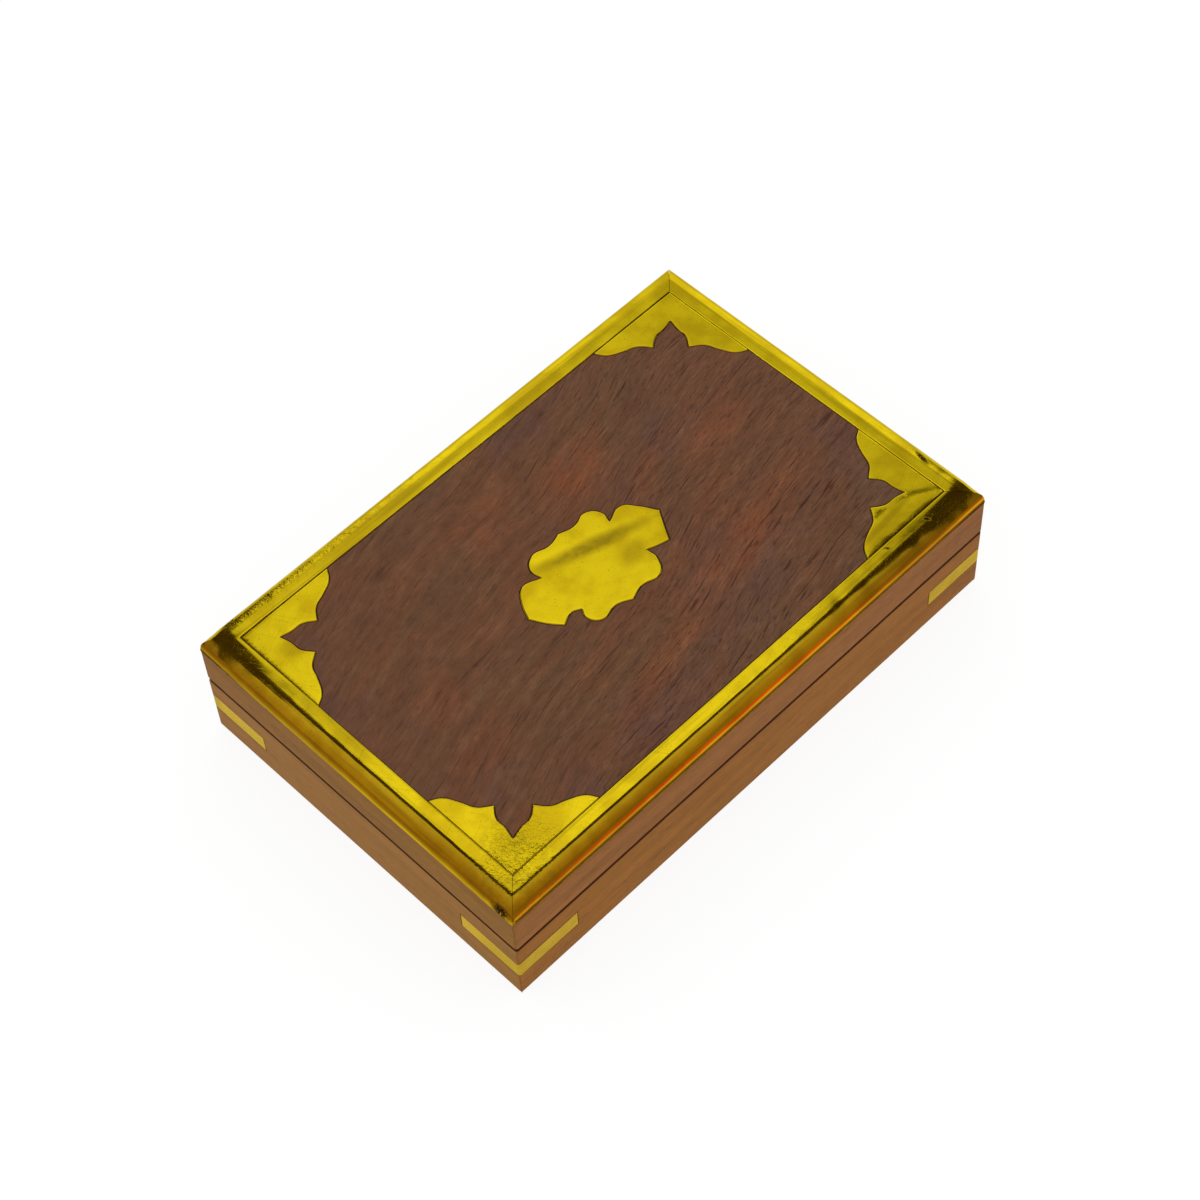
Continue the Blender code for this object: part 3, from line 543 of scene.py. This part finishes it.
def brass(name, tones, gloss, relief, along=None, stains_and_reflections=(), hammered=(), lower_shade=None, scars=()):
    """Polished brass, unevenly rubbed. Relief is the depth of its small dents in metres, and along gives
    drawn sheet its faint lines. Stains and reflections are spots of olive tarnish mixed with painted dark
    reflection, and scars are dark spots. Hammered spots have more and finer dents, and a darker colour that
    is partly wear and partly painted shade in the dents. Each of these has its place, size and turn. Lower
    shade is painted shade along the lower edge of the edging, which grows between two places along Y."""
    bright, deep = tones
    material, g, coords = new_material(name)
    cloud = g.noise(coords, 0.10, 2.5, 0.5)
    mottle = g.noise(coords, 0.42, 3.0, 0.55)
    specks = g.smooth(g.noise(coords, 2.0, 2.0, 0.5), 0.66, 0.74)
    rubbed = g.math("ADD", g.math("MULTIPLY", cloud, 0.82), g.math("MULTIPLY", mottle, 0.18))
    color = g.mix(g.smooth(rubbed, 0.38, 0.60), deep, bright)
    marks = g.math("MAXIMUM", scratches(g, coords, 24, 0.335), scratches(g, coords, -58, 0.335))
    height = g.math("ADD", mottle, g.math("MULTIPLY", marks, -0.15))
    roughness = g.math("MULTIPLY_ADD", cloud, 0.10, gloss - 0.05)
    roughness = g.math("ADD", roughness, g.math("MULTIPLY", marks, 0.10))
    if along is not None:
        drawn = g.noise(g.node("VectorMath", {0: coords, 1: along}, operation="MULTIPLY"), 1.0, 3.0, 0.55)
        height = g.math("MULTIPLY_ADD", drawn, 0.6, height)
        color = g.mix(g.smooth(drawn, 0.50, 0.66, 0.0, 0.55), color, (0.46, 0.33, 0.008))
    # Olive tarnish mixed with painted dark reflection
    for place, size, turn, strength in stains_and_reflections:
        spot = g.patch(coords, place, size, turn, 0.7)
        spot = g.math("MULTIPLY", spot, g.math("MULTIPLY_ADD", mottle, 1.2, 0.3), clamp=True)
        color = g.mix(g.math("MULTIPLY", spot, strength), color, (0.30, 0.20, 0.007))
    color = g.mix(g.math("MULTIPLY", specks, 0.45), color, (0.25, 0.15, 0.007))
    for place, size, turn in hammered:
        spot = g.patch(coords, place, size, turn, 0.8)
        # The darker colour in hammered spots is partly wear and partly painted shade in the dents' dips
        worn = g.math("MULTIPLY", spot, g.smooth(g.noise(coords, 0.55, 3.0, 0.6), 0.48, 0.62, 0.0, 0.6))
        color = g.mix(worn, color, (0.50, 0.36, 0.010))
        dents = g.math("ADD", g.noise(coords, 1.25, 3.0, 0.68), g.noise(coords, 0.45, 2.0, 0.5))
        height = g.math("MULTIPLY_ADD", g.math("MULTIPLY", spot, dents), 16.0, height)
    for place, size, turn in scars:
        scar = g.patch(coords, place, size, turn, 0.6)
        scar = g.math("MULTIPLY", scar, g.math("MULTIPLY_ADD", specks, 0.3, 1.0))
        scar = g.math("MULTIPLY", scar, g.smooth(g.noise(coords, 1.6, 3.0, 0.6), 0.34, 0.48), clamp=True)
        color = g.mix(scar, color, (0.050, 0.025, 0.008))
        roughness = g.math("MULTIPLY_ADD", scar, 0.45, roughness)
    # Painted shade: the lower edge of the edging darkened, and its gloss dulled
    if lower_shade is not None:
        _, y, z = g.split(coords)
        edge = g.math("MULTIPLY", g.smooth(z, LOWER_SHADE_TOP, LOWER_SHADE_FULL), g.smooth(y, lower_shade[0], lower_shade[1]))
        edge = g.math("MULTIPLY", edge, g.math("MULTIPLY_ADD", mottle, 1.2, 0.3), clamp=True)
        color = g.mix(g.math("MULTIPLY", edge, 0.9), color, (0.16, 0.085, 0.018))
        roughness = g.math("MULTIPLY_ADD", edge, 0.35, roughness)
    finish_material(g, color, roughness, height, relief, metallic=1.0, **BRASS_GLOSS)
    return material


def glue_filler():
    """Dark sawdust and glue, rubbed into the joints round the inlays."""
    material, g, coords = new_material("glue_filler")
    grit = g.noise(coords, 5.0, 3.0, 0.6)
    color = g.ramp(grit, ((0.35, (0.016, 0.008, 0.005)), (0.65, (0.050, 0.023, 0.011))))
    roughness = g.math("MULTIPLY_ADD", grit, 0.2, 0.6)
    finish_material(g, color, roughness, grit, 0.00005, **WOOD_GLOSS)
    return material


def felt_pile():
    """Wine-red felt: short tangled fibres over a faint mottle."""
    material, g, coords = new_material("felt_pile")
    fibres = g.noise(coords, 3.2, 5.0, 0.75, 1.6)
    hairs = g.noise(coords, 9.0, 3.0, 0.7, 2.5)
    worn = g.noise(coords, 0.06, 3.0, 0.6)
    tone = g.math("ADD", g.math("MULTIPLY", fibres, 0.7), g.math("MULTIPLY", worn, 0.3))
    color = g.ramp(
        tone, ((0.30, (0.085, 0.005, 0.010)), (0.50, (0.150, 0.011, 0.018)), (0.70, (0.230, 0.026, 0.032)))
    )
    height = g.math("ADD", fibres, g.math("MULTIPLY", hairs, 0.5))
    roughness = g.math("MULTIPLY_ADD", worn, 0.1, 0.88)
    sheen = {"Sheen Weight": 0.12, "Sheen Roughness": 0.5, "Specular IOR Level": 0.1}
    finish_material(g, color, roughness, height, 0.00025, **sheen)
    return material


LID_WOOD = lid_rosewood()
# The walls' tints are about twice as light as the lid's colour: partly lighter wood, partly painted light,
# for sides that are lit more than the top
BASE_WOOD = {
    "x": side_rosewood("base_rosewood_long", 0, 1, (0.256, 0.097, 0.015)),
    "y": side_rosewood("base_rosewood_short", 90, 2, (0.266, 0.116, 0.021)),
}
LID_SIDE_WOOD = {
    "x": side_rosewood("lid_side_rosewood_long", 0, 3, (0.241, 0.093, 0.024)),
    "y": side_rosewood("lid_side_rosewood_short", 90, 4, (0.220, 0.095, 0.013)),
}
INSIDE_WOOD = side_rosewood("inside_rosewood_grain", 90, 5, (0.215, 0.090, 0.032))
EDGING_BRASS = {
    "x": brass("edging_brass_long", GOLD, 0.075, 0.0000025, **LONG_EDGING_MARKS),
    "y": brass("edging_brass_short", GOLD, 0.075, 0.0000025, **SHORT_EDGING_MARKS),
}
PLATE_BRASS = brass("plate_brass", GOLD, 0.09, 0.0000035, **PLATE_MARKS)
ESCUTCHEON_BRASS = brass("escutcheon_brass", GOLD, 0.09, 0.0000035, **ESCUTCHEON_MARKS)
STRAP_BRASS = brass("strap_brass", STRAP_TONES, 0.24, 0.000003)
HINGE_BRASS = brass("hinge_brass_aged", AGED_TONES, 0.34, 0.000010)
FILLER = glue_filler()
FELT = felt_pile()


# Shapes

def welded(node):
    """A CAD node's mesh with its split vertices joined and its flat faces whole again."""
    bm = bmesh.new()
    bm.from_mesh(NODES[node].data)
    bmesh.ops.remove_doubles(bm, verts=bm.verts, dist=WELD)
    bmesh.ops.dissolve_limit(bm, angle_limit=FLAT_ANGLE, verts=bm.verts, edges=bm.edges)
    return bm


def mesh_of(bm, name):
    mesh = bpy.data.meshes.new(name)
    bm.to_mesh(mesh)
    bm.free()
    return mesh


def new_piece(name, mesh, material, body, slot, *nodes):
    """A shown piece that stands for CAD nodes."""
    mesh.materials.clear()
    mesh.materials.append(material)
    obj = bpy.data.objects.new(name, mesh)
    bpy.context.scene.collection.objects.link(obj)
    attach(obj, body)
    if nodes:
        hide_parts(*nodes)
    return obj


def with_modifiers(mesh, add_modifiers):
    """The mesh after the modifiers that the function adds."""
    obj = bpy.data.objects.new("shaping", mesh)
    bpy.context.scene.collection.objects.link(obj)
    add_modifiers(obj)
    bpy.context.view_layer.update()
    evaluated = obj.evaluated_get(bpy.context.evaluated_depsgraph_get())
    result = bpy.data.meshes.new_from_object(evaluated)
    bpy.data.objects.remove(obj, do_unlink=True)
    return result


def rounded_envelope():
    """A tall prism a hair larger than the wood, with its upright edges rounded."""
    half_x = WOOD_HALF_X + ENVELOPE_SLACK
    half_y = WOOD_HALF_Y + ENVELOPE_SLACK
    outline = []
    for sign_x, sign_y, start in ((1, 1, 0), (-1, 1, 90), (-1, -1, 180), (1, -1, 270)):
        centre = Vector((sign_x * (half_x - CORNER_RADIUS), sign_y * (half_y - CORNER_RADIUS), 0))
        for step in range(CORNER_STEPS + 1):
            angle = math.radians(start + 90 * step / CORNER_STEPS)
            outline.append(centre + CORNER_RADIUS * Vector((math.cos(angle), math.sin(angle), 0)))
    bm = bmesh.new()
    face = bm.faces.new([bm.verts.new(point + Vector((0, 0, ENVELOPE_FOOT))) for point in outline])
    grown = bmesh.ops.extrude_face_region(bm, geom=[face])["geom"]
    risen = [item for item in grown if isinstance(item, bmesh.types.BMVert)]
    bmesh.ops.translate(bm, verts=risen, vec=(0, 0, ENVELOPE_HEIGHT))
    bmesh.ops.recalc_face_normals(bm, faces=bm.faces)
    obj = bpy.data.objects.new("rounded_envelope", mesh_of(bm, "rounded_envelope"))
    bpy.context.scene.collection.objects.link(obj)
    return obj


def softened(node, material, body, slot, width, envelope=None):
    """A CAD node with its sharp edges rounded, and its outer corners too when an envelope is given."""

    def add_modifiers(obj):
        if envelope is not None:
            trim = obj.modifiers.new("trim", "BOOLEAN")
            trim.operation = "INTERSECT"
            trim.object = envelope
        bevel = obj.modifiers.new("bevel", "BEVEL")
        bevel.width = width
        bevel.segments = 2
        bevel.limit_method = "ANGLE"
        bevel.angle_limit = BEVEL_ANGLE
        weights = obj.modifiers.new("weights", "WEIGHTED_NORMAL")
        weights.keep_sharp = True

    source = mesh_of(welded(node), node)
    source.shade_smooth()
    mesh = with_modifiers(source, add_modifiers)
    return new_piece(f"{node}_shown", mesh, material, body, slot, node)


def side_frame(side, half_x, half_y):
    """Half the side's length, the distance from the middle to its face, and its turn from the front."""
    turns = QUARTER_TURNS[side]
    half_length, offset = (half_x, half_y) if turns % 2 == 0 else (half_y, half_x)
    return half_length, offset, Matrix.Rotation(turns * math.pi / 2, 4, "Z")


def edging_section():
    """The bent sheet's outline, up the round, over the flat and back beneath. Each point has its distance
    inward, its height, and whether it shows."""
    low = BOX_TOP - EDGING_RADIUS
    rim = EDGING_LIP * EDGING_RIM_SHARE
    section = [(EDGING_LIP, low, False), (rim, low + rim, True)]
    for step in range(EDGING_ARC_STEPS + 1):
        angle = math.radians(EDGING_ARC_START + (90 - EDGING_ARC_START) * step / EDGING_ARC_STEPS)
        reach = EDGING_RADIUS * (1 - math.cos(angle))
        section.append((reach, low + EDGING_RADIUS * math.sin(angle), True))
    width = EDGING_WIDTH + BRASS_SPREAD
    flat = width - EDGING_RADIUS - EDGING_LIP
    for step in range(1, EDGING_FLAT_STEPS + 1):
        section.append((EDGING_RADIUS + flat * step / EDGING_FLAT_STEPS, BOX_TOP, True))
    section.append((width - rim, BOX_TOP - rim, True))
    section.append((width, BOX_TOP - EDGING_LIP, False))
    section.append((width, BOX_TOP - SHEET, False))
    inner = EDGING_RADIUS - SHEET
    for step in range(EDGING_UNDERSIDE_STEPS + 1):
        angle = math.radians(90 - 90 * step / EDGING_UNDERSIDE_STEPS)
        section.append((EDGING_RADIUS - inner * math.cos(angle), low + inner * math.sin(angle), False))
    return section


def dent_depth(point, seed):
    """How far the sheet is knocked in at a point, from 0 to 1."""
    place = point / MM
    wide = noise.noise(place * 0.07 + Vector((seed, 0, 0)))
    small = noise.noise(place * 0.28 + Vector((0, seed, 0)))
    return min(1.0, max(0.0, 0.45 + 0.55 * wide + 0.35 * small))


def sagging(from_end, inward):
    """The share of a corner's droop, from the distances to the end of a side and to its outer face."""
    near = min(1.0, max(0.0, (DROOP_REACH - from_end) / (DROOP_REACH - DROOP_FULL)))
    outward = min(1.0, max(0.0, (EDGING_WIDTH - inward) / (EDGING_WIDTH - EDGING_RADIUS)))
    return near**4 * (max(0.0, outward - DROOP_CREASE) / (1 - DROOP_CREASE)) ** 1.15


def droop_depth(place):
    """How far the edging sags at a place, next to the front right and the back left corner."""
    front_right = sagging(EDGING_HALF_X - place.x, EDGING_HALF_Y + place.y)
    back_left = sagging(EDGING_HALF_Y - place.y, EDGING_HALF_X + place.x)
    return FRONT_RIGHT_DROOP * front_right + BACK_LEFT_DROOP * back_left


def edging_mesh(side, seed):
    """One side's edging, swept along the side and round its two corners to the mitres."""
    half_length, offset, turn = side_frame(side, EDGING_HALF_X, EDGING_HALF_Y)
    half_length -= EDGING_MITRE_GAP / math.sqrt(2)
    section = edging_section()
    straight = max(2, round(2 * half_length / EDGING_STATION))
    corner = [45 * step / EDGING_CORNER_STEPS for step in range(1, EDGING_CORNER_STEPS + 1)]
    stations = [("start", degrees) for degrees in reversed(corner)]
    stations += [("straight", step / straight) for step in range(straight + 1)]
    stations += [("end", degrees) for degrees in corner]
    bm = bmesh.new()
    rows = []
    for kind, amount in stations:
        row = []
        for inward, height, shown in section:
            centre = max(CORNER_RADIUS, inward)
            radius = max(CORNER_RADIUS - inward, 0.0)
            if kind == "straight":
                x = (half_length - centre) * (2 * amount - 1)
                y = -offset + inward
            else:
                angle = math.radians(amount)
                x = half_length - centre + radius * math.sin(angle)
                x = -x if kind == "start" else x
                y = -offset + centre - radius * math.cos(angle)
            point = Vector((x, y, height))
            if shown:
                depth = EDGING_DENT * dent_depth(point, seed) + droop_depth(turn @ point)
                towards = Vector((0, EDGING_RADIUS - inward, -(height - BOX_TOP + EDGING_RADIUS)))
                if inward > EDGING_RADIUS:
                    towards = Vector((0, 0, -1))
                point += towards.normalized() * depth
            row.append(bm.verts.new(point))
        rows.append(row)
    for row, following in zip(rows, rows[1:]):
        for index in range(len(section)):
            after = (index + 1) % len(section)
            bm.faces.new((row[index], row[after], following[after], following[index]))
    bm.faces.new(rows[0])
    bm.faces.new(list(reversed(rows[-1])))
    bmesh.ops.remove_doubles(bm, verts=bm.verts, dist=WELD)
    bmesh.ops.dissolve_degenerate(bm, edges=bm.edges, dist=WELD)
    bmesh.ops.recalc_face_normals(bm, faces=bm.faces)
    mesh = mesh_of(bm, f"{side}_edging")
    mesh.transform(turn)
    mesh.shade_smooth()
    mesh.set_sharp_from_angle(angle=METAL_CREASE_ANGLE)
    return mesh


def top_outline(node):
    """The outline of a node's top face, as XY points in order, anticlockwise."""
    bm = welded(node)
    top = max(vert.co.z for vert in bm.verts)
    lids = {face for face in bm.faces if all(top - vert.co.z < WELD for vert in face.verts)}
    following = {}
    for face in lids:
        for loop in face.loops:
            if not any(other in lids for other in loop.edge.link_faces if other is not face):
                following[loop.vert.index] = loop.link_loop_next.vert.index
    places = [vert.co.to_2d() for vert in bm.verts]
    bm.free()
    start = min(following)
    order = [start]
    while following[order[-1]] != start:
        order.append(following[order[-1]])
    return [places[index] for index in order]


def smoothed(outline):
    """The outline with its curves resampled finely, and its sharp corners kept."""
    count = len(outline)

    def turning(index):
        before = outline[index] - outline[index - 1]
        after = outline[(index + 1) % count] - outline[index]
        return abs(before.angle(after))

    corners = [index for index in range(count) if turning(index) > OUTLINE_CORNER]
    points = []
    for corner, following in zip(corners, corners[1:] + [corners[0] + count]):
        run = [outline[index % count] for index in range(corner, following + 1)]
        for index in range(len(run) - 1):
            first, second = run[index], run[index + 1]
            before = run[index - 1] if index > 0 else 2 * first - second
            after = run[index + 2] if index + 2 < len(run) else 2 * second - first
            steps = max(1, round((second - first).length / OUTLINE_STEP))
            for step in range(steps):
                t = step / steps
                points.append(
                    0.5
                    * (
                        2 * first
                        + (second - before) * t
                        + (2 * before - 5 * first + 4 * second - after) * t**2
                        + (3 * first - before - 3 * second + after) * t**3
                    )
                )
    return points


def inset(outline, distance):
    """The outline moved inward by a distance, or outward by a negative one."""
    count = len(outline)
    moved = []
    for index, point in enumerate(outline):
        before = (point - outline[index - 1]).normalized()
        after = (outline[(index + 1) % count] - point).normalized()
        normal = Vector((-before.y - after.y, before.x + after.x)).normalized()
        spread = max(0.5, normal.dot(Vector((-before.y, before.x))))
        moved.append(point + normal * distance / spread)
    return moved


def inlay_mesh(name, outline, low, high, wave):
    """A flat inlay with a slightly rounded rim and a hand-rubbed, not quite flat top."""
    loops = [
        (inset(outline, -BRASS_SPREAD), INLAY_RIM_DROP),
        (inset(outline, 0.0), INLAY_RIM_EASE),
        (inset(outline, INLAY_RIM_WIDTH), 0.0),
    ]
    points = [point for loop, _ in loops for point in loop]
    drops = [drop for loop, drop in loops for _ in loop]
    count = len(outline)
    rim = inset(outline, INLAY_GRID_MARGIN)
    xs = [point.x for point in outline]
    ys = [point.y for point in outline]
    row = 0
    y = min(ys)
    while y < max(ys):
        x = min(xs) + (row % 2) * INLAY_GRID / 2
        while x < max(xs):
            point = Vector((x, y))
            if inside(point, rim):
                points.append(point)
                drops.append(0.0)
            x += INLAY_GRID
        y += INLAY_GRID * INLAY_ROW_SPACING
        row += 1
    edges = []
    for level in range(len(loops)):
        edges += [(level * count + i, level * count + (i + 1) % count) for i in range(count)]
    made = geometry.delaunay_2d_cdt(points, edges, [list(range(count))], 1, 1e-7)
    bm = bmesh.new()
    verts = []
    for position, origin in zip(made[0], made[3]):
        drop = drops[origin[0]] if origin else 0.0
        verts.append(bm.verts.new((position.x, position.y, high - drop - wave(position))))
    for face in made[2]:
        bm.faces.new([verts[index] for index in face])
    bmesh.ops.recalc_face_normals(bm, faces=bm.faces)
    rim_edges = [edge for edge in bm.edges if edge.is_boundary]
    grown = bmesh.ops.extrude_edge_only(bm, edges=rim_edges)["geom"]
    lowered = [item for item in grown if isinstance(item, bmesh.types.BMVert)]
    for vert in lowered:
        vert.co.z = low
    bmesh.ops.holes_fill(bm, edges=[edge for edge in bm.edges if edge.is_boundary])
    bmesh.ops.recalc_face_normals(bm, faces=bm.faces)
    mesh = mesh_of(bm, name)
    mesh.shade_smooth()
    mesh.set_sharp_from_angle(angle=METAL_CREASE_ANGLE)
    return mesh


def inside(point, outline):
    """Whether a point lies within an outline."""
    crossed = False
    for start, end in zip(outline, outline[1:] + outline[:1]):
        if (start.y > point.y) != (end.y > point.y):
            if point.x < start.x + (end.x - start.x) * (point.y - start.y) / (end.y - start.y):
                crossed = not crossed
    return crossed


def tray_mesh(name, outer, inner, low, floor, high):
    """A shallow tray between two outlines: what fills a pocket beside and beneath an inlay."""
    bm = bmesh.new()
    levels = ((outer, low), (outer, high), (inner, high), (inner, floor))
    rings = [[bm.verts.new((point.x, point.y, z)) for point in loop] for loop, z in levels]
    count = len(outer)
    for ring, following in zip(rings, rings[1:]):
        for index in range(count):
            after = (index + 1) % count
            bm.faces.new((ring[index], ring[after], following[after], following[index]))
    bm.faces.new(rings[0])
    bm.faces.new(rings[-1])
    bmesh.ops.recalc_face_normals(bm, faces=bm.faces)
    return mesh_of(bm, name)


def rectangle_ring(name, outer, inner, low, high):
    """A rectangular frame between two half sizes."""
    bm = bmesh.new()
    turns = ((-1, -1), (1, -1), (1, 1), (-1, 1))
    levels = ((outer, low), (outer, high), (inner, high), (inner, low))
    rings = [[bm.verts.new((sx * half[0], sy * half[1], z)) for sx, sy in turns] for half, z in levels]
    for ring, following in zip(rings, rings[1:] + rings[:1]):
        for index in range(4):
            after = (index + 1) % 4
            bm.faces.new((ring[index], ring[after], following[after], following[index]))
    bmesh.ops.recalc_face_normals(bm, faces=bm.faces)
    return mesh_of(bm, name)


# Pieces

def make_wood():
    envelope = rounded_envelope()
    for side in QUARTER_TURNS:
        axis = "x" if side in ("front", "back") else "y"
        softened(f"base_{side}_wall", BASE_WOOD[axis], "base", "side_rosewood", WOOD_EDGE, envelope)
        softened(f"lid_{side}_rail", LID_SIDE_WOOD[axis], "lid", "side_rosewood", WOOD_EDGE, envelope)
    for corner in CORNERS:
        softened(f"base_corner_strap_{corner}", STRAP_BRASS, "base", "brass", METAL_EDGE, envelope)
    bpy.data.objects.remove(envelope, do_unlink=True)
    for body, wood in (("base", BASE_WOOD), ("lid", LID_SIDE_WOOD)):
        for corner in CORNERS:
            make_mitre_glue(body, corner, wood["x"])
    softened("lid_panel", LID_WOOD, "lid", "lid_rosewood", METAL_EDGE)
    softened("base_bottom_panel", INSIDE_WOOD, "base", "inside_rosewood", WOOD_EDGE)
    softened("base_divider", INSIDE_WOOD, "base", "inside_rosewood", 2 * WOOD_EDGE)


def make_mitre_glue(body, corner, material):
    """Wood-coloured glue that closes the outer edge of a mitre, a hair below the faces. On the back corners
    it stops short of the bevel that lets the lid swing open."""
    side = "front" if corner.startswith("front") else "back"
    wall = f"base_{side}_wall" if body == "base" else f"lid_{side}_rail"
    low, high = (end.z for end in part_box(wall))
    if side == "back" and body == "base":
        high -= HINGE_RELIEF
    elif side == "back":
        low += HINGE_RELIEF
    sign_x = -1 if corner.endswith("left") else 1
    sign_y = -1 if side == "front" else 1
    rounding = CORNER_RADIUS * (1 - math.sqrt(0.5)) + 2 * ENVELOPE_SLACK
    bm = bmesh.new()
    bmesh.ops.create_cube(bm, size=1.0)
    size = Vector((MITRE_GLUE_DEPTH, MITRE_GLUE_WIDTH, high - low - 2 * WOOD_EDGE))
    bmesh.ops.scale(bm, vec=size, verts=bm.verts)
    mesh = mesh_of(bm, f"{body}_mitre_glue")
    mesh.transform(Matrix.Rotation(math.atan2(sign_y, sign_x), 4, "Z"))
    inward = rounding + MITRE_GLUE_DEPTH / 2 * math.sqrt(0.5)
    x = sign_x * (WOOD_HALF_X - inward)
    y = sign_y * (WOOD_HALF_Y - inward)
    mesh.transform(Matrix.Translation((x, y, (low + high) / 2)))
    new_piece(f"{body}_mitre_glue_{corner}", mesh, material, body, "side_rosewood")


def make_edging():
    for seed, side in enumerate(QUARTER_TURNS, start=3):
        node = f"lid_{side}_edging"
        axis = "x" if side in ("front", "back") else "y"
        new_piece(f"{node}_shown", edging_mesh(side, seed), EDGING_BRASS[axis], "lid", "brass", node)
    bed = BOX_TOP - SHEET
    outer = (INNER_LINE_X - GLUE_SLACK, INNER_LINE_Y - GLUE_SLACK)
    inner = (INNER_LINE_X - INLAY_GAP + GLUE_SLACK, INNER_LINE_Y - INLAY_GAP + GLUE_SLACK)
    line = rectangle_ring("edging_glue_line", outer, inner, bed, BOX_TOP - GLUE_SINK)
    new_piece("edging_glue_line", line, FILLER, "lid", "lid_rosewood")


def plate_wave(point):
    """Depth of the hand-rubbed unevenness of the corner plates."""
    place = Vector((point.x, point.y, 0)) / MM
    wave = 0.03 * MM * (0.5 + 0.5 * noise.noise(place * 0.11)) + 0.008 * MM * (1 + noise.noise(place * 0.4))
    if place.x > 40 and place.y < -30:
        crease = place.y + 37.6 + 0.028 * (place.x - 55) ** 2
        wave += 0.03 * MM * math.exp(-((crease / 1.1) ** 2))
    return wave


def escutcheon_wave(point):
    """The escutcheon's long shallow fold, and its slight unevenness."""
    x, y = point.x / MM, point.y / MM
    fold = y - (5.0 - 0.37 * x + 0.0085 * x * x)
    valley = 0.07 * MM * math.exp(-((fold / 2.6) ** 2))
    return valley + 0.02 * MM * (0.5 + 0.5 * noise.noise(Vector((x, y, 7)) * 0.12))


def make_inlays():
    inlays = {f"corner_plate_{corner}": (PLATE_BRASS, plate_wave) for corner in CORNERS}
    inlays["centre_escutcheon"] = (ESCUTCHEON_BRASS, escutcheon_wave)
    for node, (material, wave) in inlays.items():
        low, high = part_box(node)
        outline = smoothed(top_outline(node))
        mesh = inlay_mesh(node, outline, low.z, high.z, wave)
        new_piece(f"{node}_shown", mesh, material, "lid", "brass", node)
        outer = inset(outline, -INLAY_GAP + GLUE_SLACK)
        inner = inset(outline, -GLUE_SLACK)
        bed = low.z - GLUE_BED
        tray = tray_mesh(node, outer, inner, bed, low.z - GLUE_SLACK, BOX_TOP - GLUE_SINK)
        new_piece(f"{node}_glue", tray, FILLER, "lid", "lid_rosewood")


def make_felt():
    """A pad of felt on the floor of each card well, with soft edges and a slightly uneven nap."""
    for side in ("left", "right"):
        node = f"card_well_felt_{side}"
        low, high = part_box(node)
        size = high - low
        columns = round(size.x / FELT_GRID)
        rows = round(size.y / FELT_GRID)
        bm = bmesh.new()
        grid = []
        for row in range(rows + 1):
            line = []
            for column in range(columns + 1):
                x = low.x + size.x * column / columns
                y = low.y + size.y * row / rows
                edge = min(x - low.x, high.x - x, y - low.y, high.y - y)
                nap = FELT_NAP * (1 - noise.noise(Vector((x, y, 0)) / MM * 0.35))
                drop = FELT_ROUND * max(0.0, 1 - edge / (2 * FELT_GRID)) ** 2
                line.append(bm.verts.new((x, y, high.z - nap - drop)))
            grid.append(line)
        for line, following in zip(grid, grid[1:]):
            for index in range(columns):
                bm.faces.new((line[index], line[index + 1], following[index + 1], following[index]))
        border = [edge for edge in bm.edges if edge.is_boundary]
        grown = bmesh.ops.extrude_edge_only(bm, edges=border)["geom"]
        for item in grown:
            if isinstance(item, bmesh.types.BMVert):
                item.co.z = low.z
        bmesh.ops.holes_fill(bm, edges=[edge for edge in bm.edges if edge.is_boundary])
        bmesh.ops.recalc_face_normals(bm, faces=bm.faces)
        mesh = mesh_of(bm, node)
        mesh.shade_smooth()
        mesh.set_sharp_from_angle(angle=FELT_CREASE_ANGLE)
        pad = new_piece(f"{node}_shown", mesh, FELT, "base", "felt", node)


def make_hinges():
    for side in ("left", "right"):
        for body in ("base", "lid"):
            softened(f"hinge_{side}_{body}_leaf", HINGE_BRASS, body, "hinge_brass", METAL_EDGE)
            for number in (1, 2):
                node = f"hinge_{side}_{body}_screw_{number}"
                softened(node, HINGE_BRASS, body, "hinge_brass", METAL_EDGE / 2)
        softened(f"hinge_{side}_pin", HINGE_BRASS, "base", "hinge_brass", METAL_EDGE)


make_camera()
make_floor()
make_world()
bpy.context.scene.view_settings.view_transform = "Standard"
make_wood()
make_edging()
make_inlays()
make_felt()
make_hinges()
